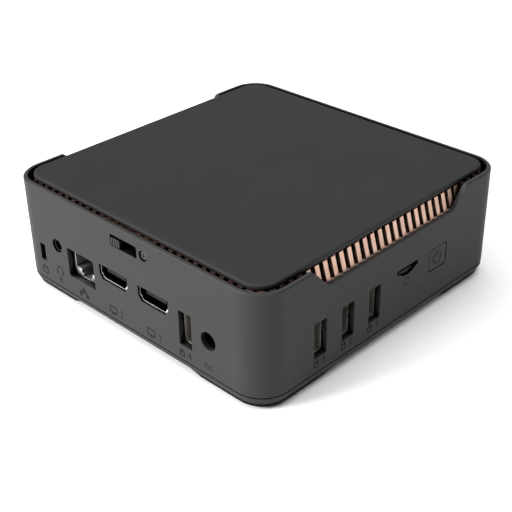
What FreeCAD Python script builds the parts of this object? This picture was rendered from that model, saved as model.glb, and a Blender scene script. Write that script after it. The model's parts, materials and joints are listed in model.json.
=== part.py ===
"""A small square desktop computer, standing on four corner feet, as an assembly of separate pieces.

Frame: +Z is up, and the origin is under the centre of the case, on the surface that it stands on.
The port panel, with the network, display and power sockets, faces -Y.
The side with three serial-bus sockets, the card slot and the power button faces +X.
All sizes are in millimetres.
"""

import FreeCAD, Part
import math
import os

V = FreeCAD.Vector
X_AXIS = V(1, 0, 0)
Y_AXIS = V(0, 1, 0)
Z_AXIS = V(0, 0, 1)

# ---------------------------------------------------------------- driving dimensions
CASE = 127.0              # width and depth of the case
CASE_R = 11.3             # radius of its upright corners
SEAM_Z = 5.5              # joint between the bottom cover and the housing
SEAM_GAP = 0.5
BASE_Z = 3.4              # underside of the bottom cover between its feet
BASE_T = 1.6
FOOT_Z = 0.4              # underside of the moulded feet, which the rubber pads stand below
RIM_Z = 44.2              # top of the housing's rim
LID_TOP_Z = 45.2          # top of the lid, the highest point
WALL = 2.0                # housing wall below the vent ring
RIM_WALL = 1.6            # housing wall beside the vent ring
RIM_EDGE = 0.45           # bevel along the rim
HALF = CASE / 2
INNER = HALF - WALL
RIM_INNER = HALF - RIM_WALL

NOTCH_Z = 36.3            # floor of the two side notches that show the vent ring
NOTCH_FLOOR = 33.4        # half length of that floor, up to the corner
NOTCH_TOP = 40.4          # half length of the notch at the rim

SHELF_Z = 35.2            # top of the shelf that carries the vent ring
SHELF_T = 1.2
SHELF_IN = 57.4           # inner edge of the shelf
SHELF_HALF = 50.0         # half length of each of its four ledges
RING_TOP_Z = 43.0
RING_TOP_U = 59.75        # outer face of the ring at its top, from the centre plane
RING_LOW_Z = 35.9
RING_LOW_U = 61.75        # outer face of the ring at the foot of its slats
RING_T = 1.2
RING_TOP_R = 7.4          # corner radius of the ring at its top
SLOT_PITCH = 3.9
SLOT_W = 2.0
SLOTS = 26                # slots along each side
CORNER_SLOTS = (-43.5, -14.5, 14.5, 43.5)   # slots round each corner, in degrees from its diagonal
FLANGE_IN = 57.0          # inner edge of the ring's top flange
POCKET_X = (-14.8, 13.5)  # part of the ring that is cut back to make room for the latch

TONGUE_X = (-4.0, 0.0)    # the lid's tongue, which the latch's finger reaches into
LATCH_TRAVEL = 8.9

LID_HALF = 59.6
LID_R = 7.3
LID_LOW_Z = 43.3
LID_SIDE_Z = 44.8         # top of the lid's upright edge
LID_CROWN = 1.3           # width of the sloping border above it
LIP_OUT = 56.6            # locating lip under the lid
LIP_T = 1.4
LIP_LOW_Z = 41.3

BOARD_Z = 26.2            # underside of the motherboard, where nearly all the sockets hang
BOARD_T = 1.6
BOARD_HALF = 57.0
BOARD_TOP = BOARD_Z + BOARD_T
POST_AT = 50.0            # board posts, from each centre plane
POST_R = 3.6
BOSS_X, BOSS_Y, BOSS_R = 57.2, 44.0, 2.4   # housing bosses that the bottom screws reach
FACE = 61.2               # where most sockets' front ends stand, from the centre plane
DISPLAY_FACE = 62.9       # where the display sockets' front ends stand
FIT = 0.2                 # gap round a socket in its cut-out

# sockets on the port panel, each at its centre along X and Z
LOCK_SLOT = dict(x=-48.8, z=16.95, w=3.0, h=6.9)
PHONES = dict(x=-39.2, z=23.2, r=2.7)
LAN = dict(x=-25.85, z=19.0, w=14.9, h=11.6)
DISPLAY_X = (13.2, -7.45)
DISPLAY_Z = 22.9
REAR_BUS = dict(x=28.65, z=18.3)
DC = dict(x=39.5, z=19.2, r=3.4)
LATCH_SLOT = dict(x0=-7.0, x1=6.6, z0=36.2, z1=40.7)
LOCK_SCREW = dict(x=9.7, z=38.5, r=1.5)

# sockets and controls on the +X side
SIDE_BUS_Y = (-36.9, -23.3, -9.5)
SIDE_BUS_Z = 18.1
CARD = dict(y=8.05, z=24.4, w=11.6, h=1.8)
BUTTON = dict(y=25.75, z=21.05, w=9.9, h=8.5, r=0.9)
BUTTON_TRAVEL = 0.7

BUS_W, BUS_H, BUS_DEEP, BUS_T = 5.6, 13.0, 15.0, 0.35
DISPLAY_W, DISPLAY_H, DISPLAY_DEEP, DISPLAY_T = 14.7, 5.5, 13.2, 0.4
DISPLAY_CUT = 1.5         # size of the two cut lower corners of a display socket
LAN_DEEP = 16.0

FAN = dict(x=0.0, y=8.0, size=50.0, z0=8.8, z1=18.8, bore=23.6)
HUB_R = 10.0
BLADES = 9
SINK_HALF = 28.0
SINK_Z = (19.3, 22.3, 24.6)   # tips of the fins, root of the fins, top of the base

TRAY_Z = 31.2             # top of the drive tray's floor
TRAY_T = 0.8
BAY_X = (-53.5, 46.6)     # room for one 2.5-inch drive
BAY_HALF_Y = 35.4
TRAY_HOLES = [(-49.0, -39.4), (-49.0, 39.4), (44.0, -39.4), (44.0, 39.4)]

MADE = []


# ---------------------------------------------------------------- helpers
def box(x0, x1, y0, y1, z0, z1):
    """An upright box between two corners."""
    return Part.makeBox(x1 - x0, y1 - y0, z1 - z0, V(x0, y0, z0))


def cyl(r, h, x, y, z, axis=Z_AXIS):
    """A cylinder from a point, along an axis."""
    return Part.makeCylinder(r, h, V(x, y, z), axis)


def fuse(shapes):
    """One solid from several that touch or overlap."""
    shapes = list(shapes)
    if len(shapes) == 1:
        return shapes[0]
    return shapes[0].multiFuse(shapes[1:]).removeSplitter()


def cut(shape, *tools):
    """A shape with several others taken away."""
    return shape.cut(list(tools))


def group(shapes):
    """Several separate solids kept together in one node."""
    return Part.makeCompound(list(shapes))


def corners(at):
    """The four points at the same distance from both centre planes."""
    return [(at, -at), (at, at), (-at, at), (-at, -at)]


def save(name, shape):
    """Writes one node, and prints how many solids it holds."""
    solids = shape.Solids
    bad = [s for s in solids if not s.isValid() or s.Volume <= 0]
    shape.exportStep(os.path.join("parts", name + ".step"))
    MADE.append(name)
    note = "  BAD" if bad or not solids else ""
    print(f"{name:22s} solids {len(solids):3d}  volume {sum(s.Volume for s in solids):10.2f}{note}")


def wire(points, place):
    """A closed wire of straight runs with rounded corners.

    points is a list of (a, b, radius), and place turns (a, b) into a point in space.
    """
    ends = []
    for i, (a, b, r) in enumerate(points):
        here = V(a, b, 0)
        back = V(points[i - 1][0], points[i - 1][1], 0) - here
        ahead = V(points[(i + 1) % len(points)][0], points[(i + 1) % len(points)][1], 0) - here
        back.normalize()
        ahead.normalize()
        if r <= 0:
            ends.append((here, None, here))
            continue
        half = back.getAngle(ahead) / 2
        reach = r / math.tan(half)
        middle = back + ahead
        middle.normalize()
        centre = here + middle * (r / math.sin(half))
        ends.append((here + back * reach, centre - middle * r, here + ahead * reach))
    edges = []
    for i, (first, through, last) in enumerate(ends):
        before = ends[i - 1][2]
        if (first - before).Length > 1e-6:
            edges.append(Part.LineSegment(place(before.x, before.y), place(first.x, first.y)).toShape())
        if through is not None:
            arc = Part.Arc(place(first.x, first.y), place(through.x, through.y), place(last.x, last.y))
            edges.append(arc.toShape())
    return Part.Wire(edges)


def plate(points, place, push):
    """A flat outline pushed along a vector into a solid."""
    return Part.Face(wire(points, place)).extrude(push)


def flat(z):
    """Places an outline in a level plane."""
    return lambda a, b: V(a, b, z)


def facing_y(y):
    """Places an outline in a plane that faces the port panel."""
    return lambda a, b: V(a, y, b)


def facing_x(x):
    """Places an outline in a plane that faces +X."""
    return lambda a, b: V(x, a, b)


def square(half, r, half_b=None, at=(0.0, 0.0)):
    """The points of a rounded rectangle."""
    other = half if half_b is None else half_b
    a, b = at
    return [(a + half, b - other, r), (a + half, b + other, r),
            (a - half, b + other, r), (a - half, b - other, r)]


def slab(half, r, z0, z1):
    """A rounded square block between two heights."""
    return plate(square(half, r), flat(z0), V(0, 0, z1 - z0))


def taper(half0, r0, z0, half1, r1, z1):
    """A rounded square block whose sides slope between two heights."""
    return Part.makeLoft([wire(square(half0, r0), flat(z0)), wire(square(half1, r1), flat(z1))], True, True)


def tube(points, r):
    """A round lead through several points, with its bends rounded."""
    parts = []
    for i, point in enumerate(points):
        if 0 < i < len(points) - 1:
            parts.append(Part.makeSphere(r, V(*point)))
        if i < len(points) - 1:
            run = V(*points[i + 1]) - V(*point)
            parts.append(Part.makeCylinder(r, run.Length, V(*point), run))
    return fuse(parts)


def screw(x, y, z, head_r, head_h, r, length, up=True, axis=Z_AXIS, recess=0.55):
    """A pan-head screw with a cross recess: its head starts at a point, and its shank runs back from there."""
    way = 1 if up else -1
    head = Part.makeCylinder(head_r, head_h, V(0, 0, 0), Z_AXIS)
    head = head.makeFillet(min(0.3, head_h * 0.4), [head.Edges[0]])
    shank = Part.makeCylinder(r, length, V(0, 0, -length), Z_AXIS)
    arm = head_r * 0.62
    arms = [box(-arm, arm, -0.22, 0.22, head_h - recess, head_h + 1),
            box(-0.22, 0.22, -arm, arm, head_h - recess, head_h + 1)]
    whole = cut(fuse([head, shank]), *arms)
    turn = FreeCAD.Rotation(Z_AXIS, axis * way)
    whole.Placement = FreeCAD.Placement(V(x, y, z), turn)
    return whole


# ---------------------------------------------------------------- housing and bottom cover
def bus_points(w, h, a, b):
    """Outline of a serial-bus socket that stands on end."""
    return square(w / 2, 0.4, h / 2, (a, b))


def display_points(w, h, a, b, grow=0.0):
    """Outline of a display socket: wide side up, with its two lower corners cut."""
    w, h, c = w / 2 + grow, h / 2 + grow, DISPLAY_CUT
    return [(a - w, b + h, 0.3), (a - w, b - h + c + 0.6, 0.5), (a - w + c, b - h, 0.4),
            (a + w - c, b - h, 0.4), (a + w, b - h + c + 0.6, 0.5), (a + w, b + h, 0.3)]


def lan_points(grow=0.0):
    """Outline of the network socket's cut-out."""
    return square(LAN["w"] / 2 + grow, 0.5, LAN["h"] / 2 + grow, (LAN["x"], LAN["z"]))


def wall_cuts():
    """Everything that the housing wall is cut for."""
    push = V(0, 6, 0)
    front = facing_y(-HALF - 1)
    cuts = []
    for x in DISPLAY_X:
        cuts.append(plate(display_points(DISPLAY_W, DISPLAY_H, x, DISPLAY_Z, FIT), front, push))
    cuts.append(plate(bus_points(BUS_W + 2 * FIT, BUS_H + 2 * FIT, REAR_BUS["x"], REAR_BUS["z"]), front, push))
    cuts.append(plate(lan_points(), front, push))
    lock = LOCK_SLOT
    cuts.append(plate(square(lock["w"] / 2, 0.25, lock["h"] / 2, (lock["x"], lock["z"])), front, push))
    cuts.append(cyl(PHONES["r"], 6, PHONES["x"], -HALF - 1, PHONES["z"], Y_AXIS))
    cuts.append(cyl(DC["r"], 6, DC["x"], -HALF - 1, DC["z"], Y_AXIS))
    cuts.append(cyl(LOCK_SCREW["r"] + 0.45, 6, LOCK_SCREW["x"], -HALF - 1, LOCK_SCREW["z"], Y_AXIS))
    s = LATCH_SLOT
    centre = ((s["x0"] + s["x1"]) / 2, (s["z0"] + s["z1"]) / 2)
    cuts.append(plate(square((s["x1"] - s["x0"]) / 2, 0.6, (s["z1"] - s["z0"]) / 2, centre), front, push))
    side = facing_x(HALF + 1)
    push = V(-6, 0, 0)
    for y in SIDE_BUS_Y:
        cuts.append(plate(bus_points(BUS_W + 2 * FIT, BUS_H + 2 * FIT, y, SIDE_BUS_Z), side, push))
    cuts.append(plate(square(CARD["w"] / 2, 0.4, CARD["h"] / 2, (CARD["y"], CARD["z"])), side, push))
    scoop = cyl(7.4, 2, HALF - 1.0, CARD["y"], CARD["z"] + 4.8, X_AXIS)
    cuts.append(scoop.common(box(HALF - 2, HALF + 2, CARD["y"] - 9, CARD["y"] + 9, CARD["z"] - 6, CARD["z"])))
    b = BUTTON
    cuts.append(plate(square(b["w"] / 2 + 0.3, b["r"] + 0.3, b["h"] / 2 + 0.3, (b["y"], b["z"])), side, push))
    return cuts


def housing():
    """The square wall with its rim, its side notches and its screw bosses."""
    low = SEAM_Z + SEAM_GAP / 2
    outer = fuse([slab(HALF, CASE_R, low, RIM_Z - RIM_EDGE),
                  taper(HALF, CASE_R, RIM_Z - RIM_EDGE, HALF - RIM_EDGE, CASE_R - RIM_EDGE, RIM_Z)])
    body = cut(outer, slab(INNER, CASE_R - WALL, low - 1, SHELF_Z + 0.1),
               slab(RIM_INNER, CASE_R - RIM_WALL, SHELF_Z, RIM_Z + 1))
    notch = [(-NOTCH_TOP - 2.6, RIM_Z + 3, 0), (-NOTCH_TOP - 2.6, RIM_Z, 0), (-NOTCH_TOP, RIM_Z, 2.2),
             (-NOTCH_FLOOR, NOTCH_Z, 3.0), (NOTCH_FLOOR, NOTCH_Z, 3.0), (NOTCH_TOP, RIM_Z, 2.2),
             (NOTCH_TOP + 2.6, RIM_Z, 0), (NOTCH_TOP + 2.6, RIM_Z + 3, 0)]
    sides = plate(notch, facing_x(-HALF - 5), V(CASE + 10, 0, 0))
    sides = sides.cut(slab(RIM_INNER - 3, 5, SHELF_Z - 2, RIM_Z + 8))
    adds = []
    for sx in (-1, 1):
        for sy in (-1, 1):
            boss = cyl(BOSS_R, 18, sx * BOSS_X, sy * BOSS_Y, BASE_Z + BASE_T)
            web = box(min(sx * BOSS_X, sx * (INNER + 0.5)), max(sx * BOSS_X, sx * (INNER + 0.5)),
                      sy * BOSS_Y - 0.8, sy * BOSS_Y + 0.8, 9.0, 23.0)
            adds += [boss, web]
    b = BUTTON
    for z in (b["z"] - b["h"] / 2 - 3.1, b["z"] + b["h"] / 2 + 1.9):
        adds.append(box(INNER - 3.2, INNER + 0.5, b["y"] - 4, b["y"] + 4, z, z + 1.2))
    body = fuse([body] + adds)
    holes = [cyl(1.0, 12, sx * BOSS_X, sy * BOSS_Y, 4.0) for sx in (-1, 1) for sy in (-1, 1)]
    return cut(body, sides, *wall_cuts(), *holes)


def ring_shelf():
    """Four straight ledges inside the wall, which carry the vent ring and the dust screen."""
    z0 = SHELF_Z - SHELF_T
    bars = []
    for side in (-1, 1):
        near, far = sorted((side * SHELF_IN, side * INNER))
        bars.append(box(near, far, -SHELF_HALF, SHELF_HALF, z0, SHELF_Z))
        bars.append(box(-SHELF_HALF, SHELF_HALF, near, far, z0, SHELF_Z))
    return group(bars)


def bottom_cover():
    """The floor with its low side wall, four corner feet, fan grille and board posts."""
    top = SEAM_Z - SEAM_GAP / 2
    side = HALF - 0.55
    pan = cut(fuse([taper(side, CASE_R - 0.55, BASE_Z, HALF - 0.1, CASE_R - 0.1, BASE_Z + 0.9),
                    slab(HALF - 0.1, CASE_R - 0.1, BASE_Z + 0.9, top)]),
              slab(INNER - 1.4, CASE_R - WALL - 1.4, BASE_Z + BASE_T, top + 1))
    lip = cut(slab(INNER - 0.1, CASE_R - WALL - 0.1, top - 0.6, 8.2),
              slab(INNER - 1.3, CASE_R - WALL - 1.3, top - 1, 9))
    foot = fuse([taper(HALF - 2.5, CASE_R - 2.5, FOOT_Z, HALF - 1.45, CASE_R - 1.45, FOOT_Z + 0.9),
                 taper(HALF - 1.45, CASE_R - 1.45, FOOT_Z + 0.9, side, CASE_R - 0.55, BASE_Z + 0.1)])
    ramp = [(-35.6, FOOT_Z - 2, 0), (-35.6, FOOT_Z, 1.6), (-29.4, BASE_Z, 1.6), (29.4, BASE_Z, 1.6),
            (35.6, FOOT_Z, 1.6), (35.6, FOOT_Z - 2, 0)]
    foot = cut(foot, plate(ramp, facing_y(-80), V(0, 160, 0)), plate(ramp, facing_x(-80), V(160, 0, 0)),
               slab(52.0, 4.0, FOOT_Z - 2, BASE_Z))
    posts = [cyl(POST_R, BOARD_Z - BASE_Z - 0.5, x, y, BASE_Z + 0.5) for x, y in corners(POST_AT)]
    body = fuse([pan, lip, foot] + posts)
    cuts = [cyl(1.1, 12, x, y, BOARD_Z - 10) for x, y in corners(POST_AT)]
    for sx in (-1, 1):
        for sy in (-1, 1):
            cuts.append(cyl(1.45, 9, sx * BOSS_X, sy * BOSS_Y, -1))
            cuts.append(cyl(2.6, 3.4, sx * BOSS_X, sy * BOSS_Y, -1))
    for x, y in corners(55.6):
        cuts.append(cyl(3.3, 2.0, x, y, -1.0))
    rows = 12
    for i in range(rows):
        y = FAN["y"] + (i - (rows - 1) / 2) * 3.6
        reach = math.sqrt(max(23.0 ** 2 - (y - FAN["y"]) ** 2, 1.0))
        cuts.append(plate(square(reach, 0.95, 1.0, (FAN["x"], y)), flat(BASE_Z - 1), V(0, 0, 4)))
    return cut(body, *cuts)


# ---------------------------------------------------------------- vent ring, lid and latch
def ring_slots(latch_from, latch_to):
    """The blocks that cut the slots in the vent ring; beside the latch they only notch its top edge."""
    keep = 58.55
    top = RING_TOP_Z + 1
    tools = []
    for k in range(SLOTS):
        at = (k - (SLOTS - 1) / 2) * SLOT_PITCH
        a, b = at - SLOT_W / 2, at + SLOT_W / 2
        z0 = RING_LOW_Z + 0.4
        over_latch = latch_from < at < latch_to
        tools.append(box(a, b, -63, -keep, RING_TOP_Z - 0.35 if over_latch else z0, top))
        tools.append(box(a, b, keep, 63, z0, top))
        tools.append(box(-63, -keep, a, b, z0, top))
        tools.append(box(keep, 63, a, b, z0, top))
    centre = RING_TOP_U - RING_TOP_R
    for cx, cy in corners(centre):
        for spread in CORNER_SLOTS:
            tool = box(keep - centre, 12, -0.75, 0.75, RING_LOW_Z + 0.4, top)
            tool.rotate(V(0, 0, 0), Z_AXIS, math.degrees(math.atan2(cy, cx)) + spread)
            tool.translate(V(cx, cy, 0))
            tools.append(tool)
    return tools


def tongue_way(z0):
    """The room that the lid's tongue passes through."""
    return box(TONGUE_X[0] - 0.4, TONGUE_X[1] + 0.4, -59.75, -58.05, z0, RING_TOP_Z + 1)


def vent_ring():
    """The copper-coloured band of sloping slats round the top, cut back where the latch runs."""
    low_r = RING_TOP_R + RING_LOW_U - RING_TOP_U
    t = RING_T
    outer = taper(RING_LOW_U, low_r, RING_LOW_Z, RING_TOP_U, RING_TOP_R, RING_TOP_Z)
    inner = taper(RING_LOW_U - t, low_r - t, RING_LOW_Z, RING_TOP_U - t, RING_TOP_R - t, RING_TOP_Z)
    band = cut(outer, inner)
    foot = cut(slab(RING_LOW_U, low_r, SHELF_Z, RING_LOW_Z), slab(58.4, 5.6, SHELF_Z - 1, RING_LOW_Z + 1))
    flange = cut(slab(RING_TOP_U - 0.3, RING_TOP_R, RING_TOP_Z - 0.9, RING_TOP_Z),
                 slab(FLANGE_IN, 5.0, RING_TOP_Z - 2, RING_TOP_Z + 1))
    x0, x1 = POCKET_X
    pocket = fuse([box(x0, x1, -63, -58.1, RING_LOW_Z, 41.6), box(-11.0, 9.0, -63, -58.0, SHELF_Z - 1, 36.0)])
    tools = ring_slots(x0 + 0.5, x1 - 0.5)
    return cut(fuse([band, foot, flange]), pocket, tongue_way(RING_LOW_Z), *tools)


def latch_guide():
    """Dark guide behind the latch's slot: a back wall, two rails for the slider and a screw boss."""
    x0, x1 = POCKET_X
    back = box(x0 - 0.6, x1 + 0.6, -58.05, -57.2, SHELF_Z, 42.0)
    sill = box(-10.6, 8.6, -61.4, -57.2, SHELF_Z, 36.2)
    roof = box(-9.8, 8.2, -61.6, -57.6, 39.7, 40.6)
    rails = [box(a, b, -60.2, -59.5, 36.0, 37.9) for a, b in ((-9.8, -4.6), (0.6, 7.2))]
    boss = cyl(2.0, 3.6, LOCK_SCREW["x"], -60.9, LOCK_SCREW["z"], Y_AXIS)
    body = fuse([back, sill, roof, boss] + rails)
    return cut(body, tongue_way(36.6), cyl(1.05, 3.4, LOCK_SCREW["x"], -61.2, LOCK_SCREW["z"], Y_AXIS))


def dust_screen():
    """Thin dark screen that stands behind the slats, left out behind the latch."""
    ring = cut(slab(57.9, 5.6, SHELF_Z, 42.0), slab(57.5, 5.2, SHELF_Z - 1, 43.0))
    return cut(ring, box(POCKET_X[0] - 0.9, POCKET_X[1] + 0.9, -60, -50, SHELF_Z - 1, 43.0))


def lid():
    """The flat cover over the drive bay, with a locating lip, and a notched tongue for the latch."""
    top = fuse([slab(LID_HALF, LID_R, LID_LOW_Z, LID_SIDE_Z),
                taper(LID_HALF, LID_R, LID_SIDE_Z, LID_HALF - LID_CROWN, LID_R - LID_CROWN, LID_TOP_Z)])
    lip = cut(slab(LIP_OUT, 4.8, LIP_LOW_Z, LID_LOW_Z + 0.5),
              slab(LIP_OUT - LIP_T, 3.4, LIP_LOW_Z - 1, LID_LOW_Z))
    x0, x1 = TONGUE_X
    notch = box(x0 - 1, x0 + 2.5, -60, -58, 38.0, 39.6)
    tongue = cut(box(x0, x1, -59.4, -58.4, 37.0, LID_LOW_Z + 0.5), notch)
    return fuse([top, lip, tongue])


def latch():
    """The slider, unlocked: a knob in the slot, a bar behind the wall, and a finger for the lid's tongue."""
    end = TONGUE_X[0] + 2.2 - LATCH_TRAVEL
    knob = plate(square(2.15, 0.5, 1.5, (-4.55, 37.95)), facing_y(-HALF + 0.08), V(0, 2.2, 0))
    bar = box(end - 2.8, -2.2, -61.5, -60.5, 36.5, 39.35)
    arm = box(end - 2.8, end - 1.2, -61.0, -58.4, 38.3, 39.3)
    finger = box(end - 2.8, end, -59.4, -58.4, 38.3, 39.3)
    ridges = [cyl(0.22, 2.6, x, -HALF + 0.1, 36.65, Z_AXIS) for x in (-5.75, -4.55, -3.35)]
    return cut(fuse([knob, bar, arm, finger]), *ridges)


# ---------------------------------------------------------------- sockets
def turned(shape, y):
    """A socket built for the port panel, turned round to face +X at a place along Y."""
    shape = shape.copy()
    shape.rotate(V(0, 0, 0), Z_AXIS, 90)
    shape.translate(V(0, y, 0))
    return shape


def bus_shell(z):
    """Metal sleeve of a serial-bus socket on the port panel, at x = 0."""
    start = facing_y(-FACE)
    hollow = bus_points(BUS_W - 2 * BUS_T, BUS_H - 2 * BUS_T, 0, z)
    sleeve = cut(plate(bus_points(BUS_W, BUS_H, 0, z), start, V(0, BUS_DEEP, 0)),
                 plate(hollow, facing_y(-FACE - 1), V(0, BUS_DEEP, 0)))
    top = z + BUS_H / 2 - 0.2
    legs = [box(s * 2.0 - 0.6, s * 2.0 + 0.6, -FACE + 9, -FACE + 11, top, BOARD_Z) for s in (-1, 1)]
    return fuse([sleeve] + legs)


def bus_tongue(z, side):
    """Insulating tongue of a serial-bus socket, set to one side of the sleeve."""
    outline = bus_points(BUS_W - 2 * BUS_T - 0.1, BUS_H - 2 * BUS_T - 0.1, 0, z)
    back = plate(outline, facing_y(-FACE + 10.5), V(0, 3.5, 0))
    at = side * 0.75
    blade = box(at - 0.95, at + 0.95, -FACE + 0.9, -FACE + 11, z - 5.4, z + 5.4)
    return fuse([back, blade])


def bus_contacts(z, side):
    """Four flat contacts lying on the tongue's open face."""
    face = side * 0.75 - side * 0.95
    pads = []
    for k in (-3.5, -1.0, 1.0, 3.5):
        x0, x1 = sorted((face, face - side * 0.12))
        pads.append(box(x0, x1, -FACE + 1.5, -FACE + 10.2, z + k - 0.5, z + k + 0.5))
    return pads


def display_shell(x):
    """Metal sleeve of a display socket."""
    start = facing_y(-DISPLAY_FACE)
    hollow = display_points(DISPLAY_W, DISPLAY_H, x, DISPLAY_Z, -DISPLAY_T)
    sleeve = cut(plate(display_points(DISPLAY_W, DISPLAY_H, x, DISPLAY_Z), start, V(0, DISPLAY_DEEP, 0)),
                 plate(hollow, facing_y(-DISPLAY_FACE - 1), V(0, DISPLAY_DEEP, 0)))
    top = DISPLAY_Z + DISPLAY_H / 2 - 0.3
    legs = [box(x + s * 6.0 - 0.6, x + s * 6.0 + 0.6, -FACE + 6, -FACE + 8, top, BOARD_Z) for s in (-1, 1)]
    return fuse([sleeve] + legs)


def display_tongue(x):
    """Insulating tongue of a display socket."""
    back = box(x - 5.2, x + 5.2, -FACE + 8.4, -FACE + 10.5, DISPLAY_Z - 2.3, DISPLAY_Z + 2.3)
    blade = box(x - 5.0, x + 5.0, -DISPLAY_FACE + 1.0, -FACE + 8.8, DISPLAY_Z - 0.1, DISPLAY_Z + 1.25)
    return fuse([back, blade])


def lan_cavity(grow, y0, y1):
    """Stepped hollow that a network plug goes into, with its latch channel at the bottom."""
    x = LAN["x"]
    return fuse([box(x - 5.95 - grow, x + 5.95 + grow, y0, y1, 16.7 - grow, 23.9 + grow),
                 box(x - 3.1 - grow, x + 3.1 + grow, y0, y1, 15.0 - grow, 17.2),
                 box(x - 2.2 - grow, x + 2.2 + grow, y0, y1, 13.9 - grow, 15.6)])


def lan_shield():
    """Metal can of the network socket, open in front."""
    x, z0, z1 = LAN["x"], 12.6, BOARD_Z - 0.1
    can = cut(box(x - 8.0, x + 8.0, -FACE, -FACE + LAN_DEEP, z0, z1),
              box(x - 7.7, x + 7.7, -FACE + 0.3, -FACE + LAN_DEEP - 0.3, z0 + 0.3, z1 - 0.3))
    return cut(can, lan_cavity(0, -FACE - 1, -FACE + 1))


def lan_insert():
    """Moulded insert inside the can."""
    x = LAN["x"]
    block = box(x - 7.65, x + 7.65, -FACE + 0.35, -FACE + LAN_DEEP - 0.35, 12.95, BOARD_Z - 0.45)
    return cut(block, lan_cavity(0, -FACE - 1, -FACE + 12.5))


def lan_contacts():
    """Eight sprung contacts under the roof of the network socket."""
    pins = []
    for k in range(8):
        x = LAN["x"] + (k - 3.5) * 1.02
        profile = [(-FACE + 12.9, 23.5, 0), (-FACE + 12.9, 23.85, 0), (-FACE + 4.0, 23.85, 0),
                   (-FACE + 4.0, 23.5, 0), (-FACE + 9.6, 21.6, 0), (-FACE + 9.9, 21.8, 0),
                   (-FACE + 5.6, 23.5, 0)]
        pins.append(plate(profile, facing_x(x - 0.16), V(0.32, 0, 0)))
    return group(pins)


def dc_body():
    """Moulded block of the power jack, with its round hole."""
    x, z = DC["x"], DC["z"]
    block = box(x - 4.6, x + 4.6, -FACE, -FACE + 12.5, z - 4.6, BOARD_Z)
    return cut(block, cyl(3.0, 10.5, x, -FACE - 1, z, Y_AXIS))


def dc_pin():
    """Centre pin of the power jack."""
    tip = -FACE + 2.4
    pin = cyl(1.1, 7.1, DC["x"], tip, DC["z"], Y_AXIS)
    return pin.makeFillet(0.35, [e for e in pin.Edges if abs(e.CenterOfMass.y - tip) < 1e-3 and e.Length > 3])


def phones_jack():
    """Headphone jack: a block under the board with a round nose in the panel's hole."""
    x, z = PHONES["x"], PHONES["z"]
    body = fuse([box(x - 3.0, x + 3.0, -FACE, -FACE + 12.0, z - 3.0, BOARD_Z),
                 cyl(PHONES["r"] - 0.2, 1.9, x, -FACE - 1.6, z, Y_AXIS)])
    return cut(body, cyl(1.78, 13.2, x, -FACE - 2, z, Y_AXIS))


def card_socket():
    """Flat metal-covered socket for a memory card."""
    y, z = CARD["y"], CARD["z"]
    body = box(FACE - 16.0, FACE, y - 7.2, y + 7.2, z - 1.35, BOARD_Z)
    return cut(body, box(FACE - 14.5, FACE + 1, y - 5.7, y + 5.7, z - 0.75, z + 0.75))


def security_plate():
    """Steel plate behind the slot for a security lock."""
    s = LOCK_SLOT
    block = box(s["x"] - 3.4, s["x"] + 3.4, -INNER, -INNER + 1.2, s["z"] - 5.6, s["z"] + 5.6)
    outline = square(s["w"] / 2 - 0.1, 0.2, s["h"] / 2 - 0.1, (s["x"], s["z"]))
    hole = plate(outline, facing_y(-INNER - 1), V(0, 4, 0))
    return cut(block, hole)


# ---------------------------------------------------------------- power button
def power_button():
    """The button's cap, the flange that keeps it in the wall, and the stem that meets the switch."""
    b = BUTTON
    cap = plate(square(b["w"] / 2, b["r"], b["h"] / 2, (b["y"], b["z"])), facing_x(HALF - 0.05), V(-2.9, 0, 0))
    half_w, half_h = b["w"] / 2 + 1.1, b["h"] / 2 + 1.1
    flange = box(60.1, 61.1, b["y"] - half_w, b["y"] + half_w, b["z"] - half_h, b["z"] + half_h)
    stem = cyl(1.5, 2.5, 57.9, b["y"], b["z"], X_AXIS)
    return fuse([cap, flange, stem])


def switch_body():
    """Push switch behind the button, on a leg from the board."""
    b = BUTTON
    body = box(51.6, 55.6, b["y"] - 3.1, b["y"] + 3.1, b["z"] - 3.1, b["z"] + 3.1)
    leg = box(51.6, 53.2, b["y"] - 3.1, b["y"] + 3.1, b["z"] + 3.0, BOARD_Z)
    return cut(fuse([body, leg]), cyl(1.6, 2.6, 53.4, b["y"], b["z"], X_AXIS))


# ---------------------------------------------------------------- cooling
def fan_corners(at):
    """Four points round the fan's axis."""
    return [(FAN["x"] + a * at, FAN["y"] + b * at) for a in (-1, 1) for b in (-1, 1)]


def heatsink():
    """Finned aluminium block over the processor."""
    z0, z1, z2 = SINK_Z
    x, y = FAN["x"], FAN["y"]
    s = SINK_HALF
    base = box(x - s, x + s, y - s, y + s, z1, z2)
    fins = [box(x - s + i * 3.06, x - s + i * 3.06 + 0.9, y - s, y + s, z0, z1 + 0.2) for i in range(19)]
    pads = [box(px - 4.0, px + 4.0, py - 4.0, py + 4.0, z0 - 0.5, z1 + 0.2) for px, py in fan_corners(20.6)]
    stands = [cyl(2.3, BOARD_Z - z2 + 0.3, px, py, z2 - 0.3) for px, py in fan_corners(25.0)]
    body = fuse([base] + fins + pads + stands)
    holes = [cyl(1.0, 3.6, px, py, z0 - 1) for px, py in fan_corners(20.6)]
    return cut(body, *holes, *[cyl(0.95, 4.0, px, py, BOARD_Z - 3.5) for px, py in fan_corners(25.0)])


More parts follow.
